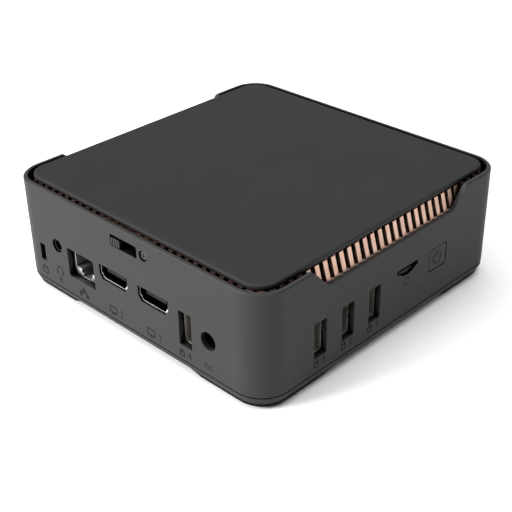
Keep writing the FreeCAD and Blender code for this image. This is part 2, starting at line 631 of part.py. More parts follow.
def fan_frame():
    """Square fan frame with its motor seat and three spokes at the bottom."""
    f = FAN
    x, y, s = f["x"], f["y"], f["size"] / 2
    body = plate(square(s, 3.0, s, (x, y)), flat(f["z0"]), V(0, 0, f["z1"] - f["z0"]))
    body = cut(body, cyl(f["bore"], 20, x, y, f["z0"] - 1))
    seat = cyl(HUB_R, 1.2, x, y, f["z0"])
    spokes = []
    for angle in (20, 140, 260):
        spoke = box(HUB_R - 1, f["bore"] + 0.6, -1.2, 1.2, f["z0"], f["z0"] + 1.2)
        spoke.rotate(V(0, 0, 0), Z_AXIS, angle)
        spoke.translate(V(x, y, 0))
        spokes.append(spoke)
    shaft = cyl(1.0, 6.5, x, y, f["z0"] + 0.5)
    body = fuse([body, seat, shaft] + spokes)
    return cut(body, *[cyl(1.2, 20, px, py, f["z0"] - 1) for px, py in fan_corners(20.6)],
               *[cyl(2.6, 1.8, px, py, f["z0"] - 1) for px, py in fan_corners(20.6)])


def fan_rotor():
    """Hub with curved blades, running on the frame's shaft."""
    f = FAN
    x, y = f["x"], f["y"]
    z0, z1 = f["z0"] + 1.6, f["z1"] - 0.9
    hub = cut(cyl(HUB_R, z1 - z0, x, y, z0), cyl(HUB_R - 1.2, z1 - z0 - 1.2, x, y, z0 - 0.1))
    sleeve = cyl(2.6, z1 - z0 - 0.4, x, y, z0)
    blades = []
    for k in range(BLADES):
        near, far = HUB_R - 0.6, f["bore"] - 0.9
        root = [(near, -2.2, 0), (far, -4.6, 0), (far, -3.7, 0), (near, -1.3, 0)]
        tip = [(a, b + 4.6, 0) for a, b, r in root]
        blade = Part.makeLoft([wire(root, flat(z0 + 0.5)), wire(tip, flat(z1 - 0.3))], True, True)
        blade.rotate(V(0, 0, 0), Z_AXIS, 360 / BLADES * k)
        blade.translate(V(x, y, 0))
        blades.append(blade)
    body = fuse([hub, sleeve] + blades)
    return cut(body.common(cyl(f["bore"] - 0.7, 40, x, y, 0)), cyl(1.06, z1 - z0 - 1.2, x, y, z0 - 0.1))


# ---------------------------------------------------------------- electronics
def under_board(x0, x1, y0, y1, h):
    """A block hanging under the motherboard."""
    return box(x0, x1, y0, y1, BOARD_Z - h, BOARD_Z)


def motherboard():
    """The main circuit board, with the holes that its screws pass."""
    body = slab(BOARD_HALF, 4.0, BOARD_Z, BOARD_TOP)
    holes = [cyl(1.4, 4, x, y, BOARD_Z - 1) for x, y in corners(POST_AT)]
    holes += [cyl(1.2, 4, x, y, BOARD_Z - 1) for x, y in fan_corners(25.0)]
    return cut(body, *holes)


def battery_holder():
    """Cradle for the clock battery."""
    x, y = 37.5, 42.0
    cup = cut(cyl(10.7, 3.6, x, y, BOARD_Z - 3.6), cyl(10.15, 3.4, x, y, BOARD_Z - 4.2))
    return cut(cup, box(x - 5, x + 5, y - 12, y - 6, BOARD_Z - 5, BOARD_Z - 1.2))


def drive_tray():
    """Flat steel tray that a 2.5-inch drive lies on."""
    x0, x1 = BAY_X
    y = BAY_HALF_Y + 6.6
    z0 = TRAY_Z - TRAY_T
    floor = box(x0 - TRAY_T, x1 - 0.6, -y, y, z0, TRAY_Z)
    holes = [cyl(1.3, 3, hx, hy, z0 - 1) for hx, hy in TRAY_HOLES]
    columns = (-42.0, -24.0, -6.0, 12.0, 30.0)
    windows = [plate(square(4.0, 1.6, 13.0, (x, 0.0)), flat(z0 - 1), V(0, 0, 3)) for x in columns]
    return cut(floor, *holes, *windows)


def tray_walls():
    """Three upright steel strips on the tray, which keep the drive in line with its connector."""
    x0, x1 = BAY_X
    y = BAY_HALF_Y
    top = TRAY_Z + 6.4
    return group([box(x0 - TRAY_T, x1 - 0.6, y, y + TRAY_T, TRAY_Z, top),
                  box(x0 - TRAY_T, x1 - 0.6, -y - TRAY_T, -y, TRAY_Z, top),
                  box(x0 - TRAY_T, x0, -y + 0.1, y - 0.1, TRAY_Z, top)])


def drive_connector():
    """Straight connector that the drive's edge plugs into."""
    x = BAY_X[1]
    block = box(x, x + 5.6, -19.5, 19.5, TRAY_Z + 0.4, TRAY_Z + 6.0)
    return cut(block, box(x - 1, x + 4.4, -16.8, -5.6, TRAY_Z + 2.3, TRAY_Z + 3.9),
               box(x - 1, x + 4.4, -3.6, 16.8, TRAY_Z + 2.3, TRAY_Z + 3.9))


def build():
    """Builds and writes every node."""
    os.makedirs("parts", exist_ok=True)
    save("housing", housing())
    save("ring_shelf", ring_shelf())
    save("bottom_cover", bottom_cover())
    save("rubber_feet", group([cyl(3.15, 1.0, x, y, 0.0) for x, y in corners(55.6)]))
    bosses = [(sx * BOSS_X, sy * BOSS_Y) for sx in (-1, 1) for sy in (-1, 1)]
    save("bottom_screws", group([screw(x, y, 2.4, 2.3, 1.2, 0.95, 10.5, up=False) for x, y in bosses]))
    save("vent_ring", vent_ring())
    save("dust_screen", dust_screen())
    save("lid", lid())
    save("latch_slider", latch())
    save("latch_guide", latch_guide())
    lock = LOCK_SCREW
    out = V(0, -1, 0)
    save("lock_screw", screw(lock["x"], -62.1, lock["z"], lock["r"], 1.0, 1.0, 2.6, axis=out, recess=0.4))
    save("power_button", power_button())
    save("switch_body", switch_body())
    save("switch_plunger", cyl(1.5, 3.3, 54.5, BUTTON["y"], BUTTON["z"], X_AXIS))
    build_sockets()
    build_cooling()
    build_electronics()
    build_bay()
    print(len(MADE), "nodes")


def build_sockets():
    """Writes the sockets on the port panel and on the +X side."""
    save("lan_shield", lan_shield())
    save("lan_insert", lan_insert())
    save("lan_contacts", lan_contacts())
    save("display_shells", group([display_shell(x) for x in DISPLAY_X]))
    save("display_tongues", group([display_tongue(x) for x in DISPLAY_X]))
    rear_shell = bus_shell(REAR_BUS["z"])
    rear_tongue = bus_tongue(REAR_BUS["z"], 1)
    rear_pads = bus_contacts(REAR_BUS["z"], 1)
    for shape in [rear_shell, rear_tongue] + rear_pads:
        shape.translate(V(REAR_BUS["x"], 0, 0))
    side_shell = bus_shell(SIDE_BUS_Z)
    side_tongue = bus_tongue(SIDE_BUS_Z, -1)
    side_pads = bus_contacts(SIDE_BUS_Z, -1)
    save("bus_shells", group([rear_shell] + [turned(side_shell, y) for y in SIDE_BUS_Y]))
    save("bus_tongues", group([rear_tongue] + [turned(side_tongue, y) for y in SIDE_BUS_Y]))
    save("bus_contacts", group(rear_pads + [turned(pad, y) for pad in side_pads for y in SIDE_BUS_Y]))
    save("dc_jack", dc_body())
    save("dc_pin", dc_pin())
    save("phones_jack", phones_jack())
    save("card_socket", card_socket())
    save("security_plate", security_plate())


def build_cooling():
    """Writes the processor, its heatsink, and the fan under it."""
    x, y = FAN["x"], FAN["y"]
    save("processor", under_board(x - 12, x + 12, y - 8, y + 8, BOARD_Z - SINK_Z[2]))
    save("heatsink", heatsink())
    feet = fan_corners(25.0)
    save("heatsink_screws", group([screw(px, py, BOARD_TOP, 2.1, 1.1, 0.9, 4.2) for px, py in feet]))
    save("fan_frame", fan_frame())
    save("fan_rotor", fan_rotor())
    seats = fan_corners(20.6)
    low = FAN["z0"] + 0.8
    save("fan_screws", group([screw(px, py, low, 2.3, 0.7, 0.95, 12.0, up=False) for px, py in seats]))
    save("fan_header", under_board(32.0, 37.0, y - 14.0, y - 6.0, 4.5))
    leads = []
    for shift in (-1.2, 0.0, 1.2):
        at = y - 10.0 + shift
        leads.append(tube([(25.5, at, 14.2), (29.0, at, 14.5), (34.5, at, 18.5), (34.5, at, 21.7)], 0.45))
    save("fan_lead", group(leads))


def build_electronics():
    """Writes the motherboard and what hangs under it."""
    x, y = FAN["x"], FAN["y"]
    save("motherboard", motherboard())
    posts = corners(POST_AT)
    save("board_screws", group([screw(px, py, BOARD_TOP, 2.3, 1.3, 1.05, 7.0) for px, py in posts]))
    spots = [(x + a * 20, y + b * 9) for a in (-1, 1) for b in (-1, 1)]
    save("memory_chips", group([under_board(cx - 4, cx + 4, cy - 6, cy + 6, 1.1) for cx, cy in spots]))
    save("storage_chip", under_board(-7.0, 5.0, 40.0, 53.0, 1.0))
    save("coils", group([under_board(cx - 3.3, cx + 3.3, -40.0, -33.4, 3.2) for cx in (-8.0, 1.0, 10.0, 19.0)]))
    cans = (-14.0, -6.0, 2.0, 10.0, 18.0)
    save("capacitors", group([cyl(2.6, 6.2, cx, -28.0, BOARD_Z - 6.2) for cx in cans]))
    save("lan_transformer", under_board(-34.0, -18.0, -42.0, -35.0, 4.2))
    slot = box(-51.0, -30.6, 34, 36.6, 23.6, 24.7)
    save("wireless_socket", cut(under_board(-51.8, -29.8, 35.2, 42.4, 3.4), slot))
    card = fuse([box(-50.8, -30.8, 6.0, 36.4, 23.75, 24.55), box(-48.8, -32.8, 12.0, 30.0, 22.3, 23.8)])
    save("wireless_card", cut(card, cyl(1.1, 3, -40.8, 8.2, 23.0)))
    standoff = cyl(2.2, BOARD_Z - 24.55, -40.8, 8.2, 24.55)
    save("card_standoff", cut(standoff, cyl(0.85, 4, -40.8, 8.2, 23.0)))
    save("card_screw", screw(-40.8, 8.2, 23.75, 2.0, 0.9, 0.8, 2.2, up=False, recess=0.4))
    strips = [box(-61.4, -61.1, -30.0, -4.0, 16.0, 24.0), box(-20.0, 6.0, 61.1, 61.4, 16.0, 24.0)]
    save("antennas", group(strips))
    first = [(-46.8, 9.0, 23.75), (-46.8, 9.0, 21.2), (-56.0, -4.0, 20.0), (-60.6, -14.0, 20.0)]
    second = [(-34.6, 9.0, 23.75), (-34.6, 9.0, 20.4), (-31.2, 14.0, 20.4), (-31.2, 45.0, 20.4),
              (-8.0, 60.6, 20.0)]
    save("antenna_leads", group([tube(first, 0.5), tube(second, 0.5)]))
    save("battery_holder", battery_holder())
    save("clock_battery", cyl(10.0, 3.1, 37.5, 42.0, BOARD_Z - 3.95))


def build_bay():
    """Writes the drive bay above the motherboard."""
    save("drive_tray", drive_tray())
    save("tray_walls", tray_walls())
    rise = TRAY_Z - TRAY_T - BOARD_TOP
    posts = [cut(cyl(2.3, rise, x, y, BOARD_TOP), cyl(1.05, 9, x, y, BOARD_TOP - 1)) for x, y in TRAY_HOLES]
    save("tray_standoffs", group(posts))
    save("tray_screws", group([screw(x, y, TRAY_Z, 2.1, 1.1, 1.0, 3.0) for x, y in TRAY_HOLES]))
    socket = box(50.6, 55.6, -24.0, 24.0, BOARD_TOP, BOARD_TOP + 2.2)
    save("riser_socket", cut(socket, box(52.15, 53.85, -22.1, 22.1, BOARD_TOP + 0.5, BOARD_TOP + 3)))
    save("riser_board", box(52.25, 53.75, -22.0, 22.0, BOARD_TOP + 0.55, 38.4))
    save("drive_connector", drive_connector())


build()
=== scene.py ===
"""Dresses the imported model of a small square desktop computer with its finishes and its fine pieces.

Everything is in metres, in the same frame as the solid model: +Z up, the port panel faces -Y,
and the side with three serial-bus sockets, the card slot and the power button faces +X.
"""

import json
import logging
import math
import random
from dataclasses import dataclass, field
from enum import Enum

import bmesh
import bpy
from mathutils import Matrix, Quaternion, Vector

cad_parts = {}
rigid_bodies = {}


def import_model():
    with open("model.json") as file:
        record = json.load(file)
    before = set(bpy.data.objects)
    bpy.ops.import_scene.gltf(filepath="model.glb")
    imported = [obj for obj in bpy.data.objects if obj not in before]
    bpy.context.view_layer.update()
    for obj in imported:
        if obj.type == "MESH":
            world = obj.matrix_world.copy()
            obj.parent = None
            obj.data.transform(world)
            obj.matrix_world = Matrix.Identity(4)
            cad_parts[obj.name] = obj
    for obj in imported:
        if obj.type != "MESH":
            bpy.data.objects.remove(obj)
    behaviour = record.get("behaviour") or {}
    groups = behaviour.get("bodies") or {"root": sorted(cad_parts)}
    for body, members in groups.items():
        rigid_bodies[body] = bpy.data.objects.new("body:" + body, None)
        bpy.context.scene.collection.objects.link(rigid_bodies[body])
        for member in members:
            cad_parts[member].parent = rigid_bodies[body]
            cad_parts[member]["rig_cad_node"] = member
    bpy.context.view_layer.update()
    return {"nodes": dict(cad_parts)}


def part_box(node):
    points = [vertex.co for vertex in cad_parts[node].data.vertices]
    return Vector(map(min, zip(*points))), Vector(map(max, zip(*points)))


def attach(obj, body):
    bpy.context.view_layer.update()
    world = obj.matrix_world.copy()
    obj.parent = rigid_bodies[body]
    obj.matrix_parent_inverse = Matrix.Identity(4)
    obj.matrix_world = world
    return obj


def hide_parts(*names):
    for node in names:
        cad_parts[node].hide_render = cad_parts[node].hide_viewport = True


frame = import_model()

log = logging.getLogger("mini_computer")

Colour = tuple[float, float, float]
Spot = tuple[float, float]
Size = tuple[float, float, float]
MM = 0.001
BLACK = (0.0, 0.0, 0.0, 1.0)
WHITE = (1.0, 1.0, 1.0, 1.0)
DUST = (0.16, 0.155, 0.145)


def mm(*values: float) -> Vector:
    """Turns millimetres into a vector in metres.

    Args:
        *values: The coordinates, in millimetres.

    Returns:
        The vector.
    """
    return Vector(values) * MM


class Wall(Enum):
    """The upright walls that carry printed marks, each with the turn that lays a level mark on it."""

    PORTS = Matrix(((1, 0, 0), (0, 0, -1), (0, 1, 0)))
    SIDE = Matrix(((0, 0, 1), (1, 0, 0), (0, 1, 0)))


# ---------------------------------------------------------------- node trees
class Sheet:
    """A small helper that adds nodes to a tree and joins them."""

    def __init__(self, tree: bpy.types.NodeTree) -> None:
        """Keeps the tree.

        Args:
            tree: The node tree to add to.
        """
        self.tree = tree

    def add(self, kind: str, inputs: dict | None = None, **settings: object) -> bpy.types.Node:
        """Adds one node.

        Args:
            kind: The node's type, without its ShaderNode prefix.
            inputs: Values or output sockets for its inputs, by name or by number.
            **settings: Values for the node's own properties.

        Returns:
            The node.
        """
        node = self.tree.nodes.new("ShaderNode" + kind)
        for name, value in settings.items():
            setattr(node, name, value)
        for name, value in (inputs or {}).items():
            if isinstance(value, bpy.types.NodeSocket):
                self.tree.links.new(value, node.inputs[name])
            else:
                node.inputs[name].default_value = value
        return node

    def sum(self, operation: str, first: object, second: object, clamp: bool = False) -> bpy.types.NodeSocket:
        """Adds a Math node.

        Args:
            operation: The node's operation, such as MULTIPLY.
            first: A number or an output socket.
            second: A number or an output socket.
            clamp: Whether the result is kept between 0 and 1.

        Returns:
            The result's socket.
        """
        return self.add("Math", {0: first, 1: second}, operation=operation, use_clamp=clamp).outputs[0]

    def band(self, value: object, low: object, high: object, to_low: float = 0.0,
             to_high: float = 1.0) -> bpy.types.NodeSocket:
        """Adds a Map Range node that eases one range into another.

        Args:
            value: The output socket to map.
            low: The value that gives to_low.
            high: The value that gives to_high.
            to_low: The result at the low end.
            to_high: The result at the high end.

        Returns:
            The result's socket.
        """
        ends = {"Value": value, "From Min": low, "From Max": high, "To Min": to_low, "To Max": to_high}
        return self.add("MapRange", ends, interpolation_type="SMOOTHSTEP").outputs["Result"]

    def blend(self, amount: object, first: object, second: object) -> bpy.types.NodeSocket:
        """Adds a colour Mix node.

        Args:
            amount: How much of the second colour shows.
            first: The colour, or the socket, at 0.
            second: The colour, or the socket, at 1.

        Returns:
            The mixed colour's socket.
        """
        node = self.add("Mix", data_type="RGBA")
        for socket, value in ((node.inputs[0], amount), (node.inputs[6], first), (node.inputs[7], second)):
            if isinstance(value, bpy.types.NodeSocket):
                self.tree.links.new(value, socket)
            else:
                socket.default_value = value if isinstance(value, float) else (*value, 1.0)
        return node.outputs[2]


class Effects:
    """The shared effects, each a node group that is built once."""

    _made: dict[str, bpy.types.NodeTree] = {}

    @classmethod
    def _group(cls, name: str, inputs: dict[str, float | None],
               outputs: dict[str, str]) -> tuple[Sheet, bpy.types.Node, bpy.types.Node]:
        """Starts a group with its sockets.

        Args:
            name: The group's name.
            inputs: Input names with their starting numbers, or None for a vector.
            outputs: Output names with their socket types.

        Returns:
            The sheet, the group's input node and its output node.
        """
        tree = bpy.data.node_groups.new(name, "ShaderNodeTree")
        for key, start in inputs.items():
            kind = "NodeSocketVector" if start is None else "NodeSocketFloat"
            socket = tree.interface.new_socket(name=key, in_out="INPUT", socket_type=kind)
            if start is not None:
                socket.default_value = start
        for key, kind in outputs.items():
            tree.interface.new_socket(name=key, in_out="OUTPUT", socket_type=kind)
        cls._made[name] = tree
        return Sheet(tree), tree.nodes.new("NodeGroupInput"), tree.nodes.new("NodeGroupOutput")

    @classmethod
    def grain(cls) -> bpy.types.NodeTree:
        """The pebbled skin of a moulded part: a fine height, and a broad mottle for its colour."""
        if "moulded grain" in cls._made:
            return cls._made["moulded grain"]
        sheet, start, end = cls._group(
            "moulded grain", {"Vector": None, "Grain Size": 0.0004, "Mottle Size": 0.02},
            {"Height": "NodeSocketFloat", "Mottle": "NodeSocketFloat"})
        place = start.outputs["Vector"]
        fine = sheet.sum("DIVIDE", 1.0, start.outputs["Grain Size"])
        broad = sheet.sum("DIVIDE", 1.0, start.outputs["Mottle Size"])
        pebbles = sheet.add("TexVoronoi", {"Vector": place, "Scale": fine, "Randomness": 1.0},
                            feature="SMOOTH_F1").outputs["Distance"]
        speck = sheet.add("TexNoise", {"Vector": place, "Scale": fine, "Detail": 2.0}).outputs["Fac"]
        mottle = sheet.add("TexNoise", {"Vector": place, "Scale": broad, "Detail": 5.0, "Roughness": 0.6})
        height = sheet.sum("MULTIPLY_ADD", pebbles, -0.7)
        height.node.inputs[2].default_value = 0.7
        mixed = sheet.sum("ADD", height, sheet.sum("MULTIPLY", speck, 0.3))
        sheet.tree.links.new(mixed, end.inputs["Height"])
        sheet.tree.links.new(mottle.outputs["Fac"], end.inputs["Mottle"])
        return sheet.tree

    @classmethod
    def edge(cls) -> bpy.types.NodeTree:
        """Rubbed edges: a mask that is 1 where the surface turns a corner within a given distance."""
        if "rubbed edge" in cls._made:
            return cls._made["rubbed edge"]
        sheet, start, end = cls._group(
            "rubbed edge", {"Vector": None, "Width": 0.0004, "Amount": 0.5}, {"Mask": "NodeSocketFloat"})
        soft = sheet.add("Bevel", {"Radius": start.outputs["Width"]}, samples=4)
        true = sheet.add("NewGeometry")
        turn = sheet.add("VectorMath", {0: soft.outputs["Normal"], 1: true.outputs["Normal"]},
                         operation="DOT_PRODUCT")
        bend = sheet.band(turn.outputs["Value"], 0.995, 0.86)
        chips = sheet.add("TexNoise", {"Vector": start.outputs["Vector"], "Scale": 260.0, "Detail": 4.0})
        patchy = sheet.band(chips.outputs["Fac"], 0.35, 0.65, 0.25, 1.0)
        worn = sheet.sum("MULTIPLY", bend, patchy)
        mask = sheet.sum("MULTIPLY", worn, start.outputs["Amount"], clamp=True)
        sheet.tree.links.new(mask, end.inputs["Mask"])
        return sheet.tree

    @classmethod
    def recess(cls) -> bpy.types.NodeTree:
        """Painted shade in recesses: a mask that is 1 where other surfaces stand close all round."""
        if "painted shade in recesses" in cls._made:
            return cls._made["painted shade in recesses"]
        sheet, start, end = cls._group(
            "painted shade in recesses", {"Reach": 0.004, "Open": 0.8, "Shut": 0.45}, {"Mask": "NodeSocketFloat"})
        sky = sheet.add("AmbientOcclusion", {"Distance": start.outputs["Reach"]}, samples=12)
        mask = sheet.band(sky.outputs["AO"], start.outputs["Open"], start.outputs["Shut"])
        sheet.tree.links.new(mask, end.inputs["Mask"])
        return sheet.tree

    @classmethod
    def dust(cls) -> bpy.types.NodeTree:
        """Dust that has settled on what faces up: a soft, patchy mask."""
        if "settled dust" in cls._made:
            return cls._made["settled dust"]
        sheet, start, end = cls._group(
            "settled dust", {"Vector": None, "Amount": 0.1}, {"Mask": "NodeSocketFloat"})
        up = sheet.add("SeparateXYZ", {0: sheet.add("NewGeometry").outputs["Normal"]}).outputs["Z"]
        patch = sheet.add("TexNoise", {"Vector": start.outputs["Vector"], "Scale": 55.0, "Detail": 6.0,
                                       "Roughness": 0.7})
        mask = sheet.sum("MULTIPLY", sheet.band(up, 0.5, 1.0), sheet.band(patch.outputs["Fac"], 0.35, 0.75))
        sheet.tree.links.new(sheet.sum("MULTIPLY", mask, start.outputs["Amount"]), end.inputs["Mask"])
        return sheet.tree

    @classmethod
    def brushing(cls) -> bpy.types.NodeTree:
        """Fine parallel lines left by rolling or brushing, as a height and a streak mask."""
        if "brushed lines" in cls._made:
            return cls._made["brushed lines"]
        sheet, start, end = cls._group(
            "brushed lines", {"Vector": None, "Line Size": 0.0001, "Stretch": 40.0},
            {"Height": "NodeSocketFloat", "Streak": "NodeSocketFloat"})
        scale = sheet.sum("DIVIDE", 1.0, start.outputs["Line Size"])
        along = sheet.sum("DIVIDE", scale, start.outputs["Stretch"])
        size = sheet.add("CombineXYZ", {"X": along, "Y": scale, "Z": scale}).outputs[0]
        place = sheet.add("VectorMath", {0: start.outputs["Vector"], 1: size}, operation="MULTIPLY")
        lines = sheet.add("TexNoise", {"Vector": place.outputs[0], "Scale": 1.0, "Detail": 3.0})
        sheet.tree.links.new(lines.outputs["Fac"], end.inputs["Height"])
        sheet.tree.links.new(sheet.band(lines.outputs["Fac"], 0.3, 0.7), end.inputs["Streak"])
        return sheet.tree


# ---------------------------------------------------------------- finishes
@dataclass(frozen=True)
class Finish:
    """What every finish has: a name, the record's slot, and the surface's plain values.

    Attributes:
        name: The material's name.
        slot: The record's material slot; this script does not use it.
        colour: Linear base colour.
        roughness: Middle roughness.
    """

    name: str
    slot: str
    colour: Colour
    roughness: float

    def start(self, metallic: float = 0.0, specular: float = 0.5) -> tuple[
            bpy.types.Material, Sheet, bpy.types.Node, bpy.types.NodeSocket]:
        """Makes an empty material with its shader.

        Args:
            metallic: The shader's metallic value.
            specular: The shader's specular level.

        Returns:
            The material, its sheet, its Principled node, and its Object coordinates.
        """
        made = bpy.data.materials.new(self.title)
        made.use_nodes = True
        made.node_tree.nodes.clear()
        made.diffuse_color = (*self.colour, 1.0)
        sheet = Sheet(made.node_tree)
        out = sheet.add("OutputMaterial")
        shader = sheet.add("BsdfPrincipled", {
            "Metallic": metallic, "Roughness": self.roughness, "Base Color": (*self.colour, 1.0),
            "Specular IOR Level": specular})
        sheet.tree.links.new(shader.outputs[0], out.inputs["Surface"])
        return made, sheet, shader, sheet.add("TexCoord").outputs["Object"]

    @property
    def title(self) -> str:
        """The material's full name, which no material of the solid model has."""
        return self.name + " finish"

    def shade(self, factor: float) -> Colour:
        """Makes the base colour lighter or darker.

        Args:
            factor: What each channel is multiplied by.

        Returns:
            The new colour.
        """
        return tuple(min(1.0, c * factor) for c in self.colour)

    def material(self) -> bpy.types.Material:
        """Builds the material."""
        raise NotImplementedError

    def wrap(self, *objects: bpy.types.Object) -> None:
        """Puts the finish on objects.

        Args:
            *objects: The objects to dress.
        """
        made = bpy.data.materials.get(self.title) or self.material()
        for thing in objects:
            if not thing.material_slots:
                thing.data.materials.append(made)
            for place in thing.material_slots:
                place.material = made


@dataclass(frozen=True)
class Moulded(Finish):
    """Moulded plastic or rubber with a pebbled skin, rubbed edges, a little dust, and painted shade in narrow
    recesses where its shadow value is set.

    Attributes:
        grain: Size of one pebble, in metres.
        depth: Height of the pebbles, in metres.
        wear: How light the rubbed edges are.
        dust: How much dust lies on top.
        gloss: The shader's specular level.
        shadow: How dark the painted shade in narrow recesses is, from 0 to 1.
    """

    grain: float = 0.00035
    depth: float = 0.00002
    wear: float = 0.3
    dust: float = 0.05
    gloss: float = 0.4
    shadow: float = 0.0

    def material(self) -> bpy.types.Material:
        """Builds the material."""
        made, sheet, shader, place = self.start(0.0, self.gloss)
        skin = sheet.add("Group", {"Vector": place, "Grain Size": self.grain}, node_tree=Effects.grain())
        rub = sheet.add("Group", {"Vector": place, "Amount": self.wear}, node_tree=Effects.edge())
        lying = sheet.add("Group", {"Vector": place, "Amount": self.dust}, node_tree=Effects.dust())
        base = sheet.blend(sheet.band(skin.outputs["Mottle"], 0.3, 0.7), self.shade(0.97), self.shade(1.03))
        worn = sheet.blend(rub.outputs["Mask"], base, self.shade(2.0))
        dusty_and_shaded = sheet.blend(lying.outputs["Mask"], worn, DUST)
        rough = sheet.band(skin.outputs["Mottle"], 0.25, 0.75, self.roughness - 0.01, self.roughness + 0.01)
        rough = sheet.sum("SUBTRACT", rough, sheet.sum("MULTIPLY", rub.outputs["Mask"], 0.12))
        bump = sheet.add("Bump", {"Height": skin.outputs["Height"], "Strength": 0.6, "Distance": self.depth})
        # Painted shade: where shadow is set, narrow recesses are darkened towards near black and their
        # specular level is cut, standing in for the shade that falls there.
        if self.shadow:
            shade_node = sheet.add("Group", {"Reach": 0.006, "Open": 0.72, "Shut": 0.55},
                             node_tree=Effects.recess())
            mask = sheet.sum("MULTIPLY", shade_node.outputs["Mask"], self.shadow)
            dusty_and_shaded = sheet.blend(mask, dusty_and_shaded, self.shade(0.08))
            gleam = sheet.band(mask, 0.0, 1.0, self.gloss, 0.0)
            sheet.tree.links.new(gleam, shader.inputs["Specular IOR Level"])
        sheet.tree.links.new(dusty_and_shaded, shader.inputs["Base Color"])
        sheet.tree.links.new(rough, shader.inputs["Roughness"])
        sheet.tree.links.new(bump.outputs[0], shader.inputs["Normal"])
        return made


@dataclass(frozen=True)
class Metal(Finish):
    """Bare, plated or coated metal with brushed lines, small stains, bright edges, and painted shade in its
    recesses where it has a recess colour.

    Attributes:
        line: Width of the brushed lines, in metres.
        depth: Height of the lines, in metres.
        stain: How much darker the stained patches are.
        metallic: The shader's metallic value.
        recess: Colour of the painted shade in its recesses, if it has any.
        reach: How near another surface must stand for a spot to get the painted shade, in metres.
        shut: How open to its surroundings a spot is where the painted shade is full.
    """

    line: float = 0.00008
    depth: float = 0.000004
    stain: float = 0.25
    metallic: float = 1.0
    recess: Colour | None = None
    reach: float = 0.004
    shut: float = 0.45

    def material(self) -> bpy.types.Material:
        """Builds the material."""
        made, sheet, shader, place = self.start(self.metallic)
        lines = sheet.add("Group", {"Vector": place, "Line Size": self.line}, node_tree=Effects.brushing())
        skin = sheet.add("Group", {"Vector": place, "Mottle Size": 0.006}, node_tree=Effects.grain())
        rub = sheet.add("Group", {"Vector": place, "Amount": 0.6, "Width": 0.00025}, node_tree=Effects.edge())
        patches = sheet.band(skin.outputs["Mottle"], 0.45, 0.75)
        stained = sheet.blend(patches, self.colour, self.shade(1.0 - self.stain))
        lined = sheet.blend(sheet.sum("MULTIPLY", lines.outputs["Streak"], 0.12), stained, self.shade(0.7))
        bright = sheet.blend(sheet.sum("MULTIPLY", rub.outputs["Mask"], 0.7), lined, self.shade(1.25))
        rough = sheet.band(skin.outputs["Mottle"], 0.3, 0.7, self.roughness - 0.04, self.roughness + 0.1)
        rough = sheet.sum("ADD", rough, sheet.sum("MULTIPLY", lines.outputs["Streak"], 0.05))
        bump = sheet.add("Bump", {"Height": lines.outputs["Height"], "Strength": 0.5, "Distance": self.depth})
        # Painted shade: spots close to other surfaces take the given dark recess colour and lose most of
        # their specular level, standing in for the shade that falls there.
        if self.recess is not None:
            shade_node = sheet.add("Group", {"Reach": self.reach, "Shut": self.shut}, node_tree=Effects.recess())
            bright = sheet.blend(shade_node.outputs["Mask"], bright, self.recess)
            shine = sheet.band(shade_node.outputs["Mask"], 0.0, 1.0, 0.5, 0.05)
            sheet.tree.links.new(shine, shader.inputs["Specular IOR Level"])
        sheet.tree.links.new(bright, shader.inputs["Base Color"])
        sheet.tree.links.new(rough, shader.inputs["Roughness"])
        sheet.tree.links.new(bump.outputs[0], shader.inputs["Normal"])
        return made


@dataclass(frozen=True)
class CircuitBoard(Finish):
    """Green solder resist over fine tracks, with pale pads.

    Attributes:
        track: Spacing of the tracks, in metres.
        pad: Colour of the pads.
    """

    track: float = 0.0012
    pad: Colour = (0.62, 0.58, 0.46)

    def material(self) -> bpy.types.Material:
        """Builds the material."""
        made, sheet, shader, place = self.start(0.0, 0.5)
        turned = sheet.add("Mapping", {"Vector": place, "Rotation": (0.0, 0.0, math.pi / 2)})
        cells = sheet.add("TexBrick", {
            "Vector": place, "Scale": 1.0 / self.track, "Mortar Size": 0.07, "Brick Width": 2.6,
            "Row Height": 0.5, "Color1": BLACK, "Color2": BLACK, "Mortar": WHITE})
        cross = sheet.add("TexBrick", {
            "Vector": turned.outputs[0], "Scale": 0.7 / self.track, "Mortar Size": 0.06, "Brick Width": 3.4,
            "Row Height": 0.6, "Color1": BLACK, "Color2": BLACK, "Mortar": WHITE})
        area = sheet.add("TexVoronoi", {"Vector": place, "Scale": 70.0}, distance="CHEBYCHEV")
        which = sheet.add("SeparateColor", {0: area.outputs["Color"]})
        part = sheet.band(which.outputs[0], 0.48, 0.52)
        tracks = sheet.blend(part, cells.outputs["Color"], cross.outputs["Color"])
        dots = sheet.add("TexVoronoi", {"Vector": place, "Scale": 420.0, "Randomness": 0.9})
        round_dots = sheet.band(dots.outputs["Distance"], 0.16, 0.12)
        pads = sheet.sum("MULTIPLY", round_dots, sheet.band(which.outputs[1], 0.55, 0.6))
        green = sheet.blend(tracks, self.colour, self.shade(2.1))
        shown = sheet.blend(pads, green, self.pad)
        height = sheet.sum("ADD", sheet.add("RGBToBW", {0: tracks}).outputs[0], pads)
        bump = sheet.add("Bump", {"Height": height, "Strength": 0.5, "Distance": 0.00003})
        sheet.tree.links.new(shown, shader.inputs["Base Color"])
        sheet.tree.links.new(sheet.band(pads, 0.0, 1.0, self.roughness, 0.25), shader.inputs["Roughness"])
        sheet.tree.links.new(bump.outputs[0], shader.inputs["Normal"])
        return made
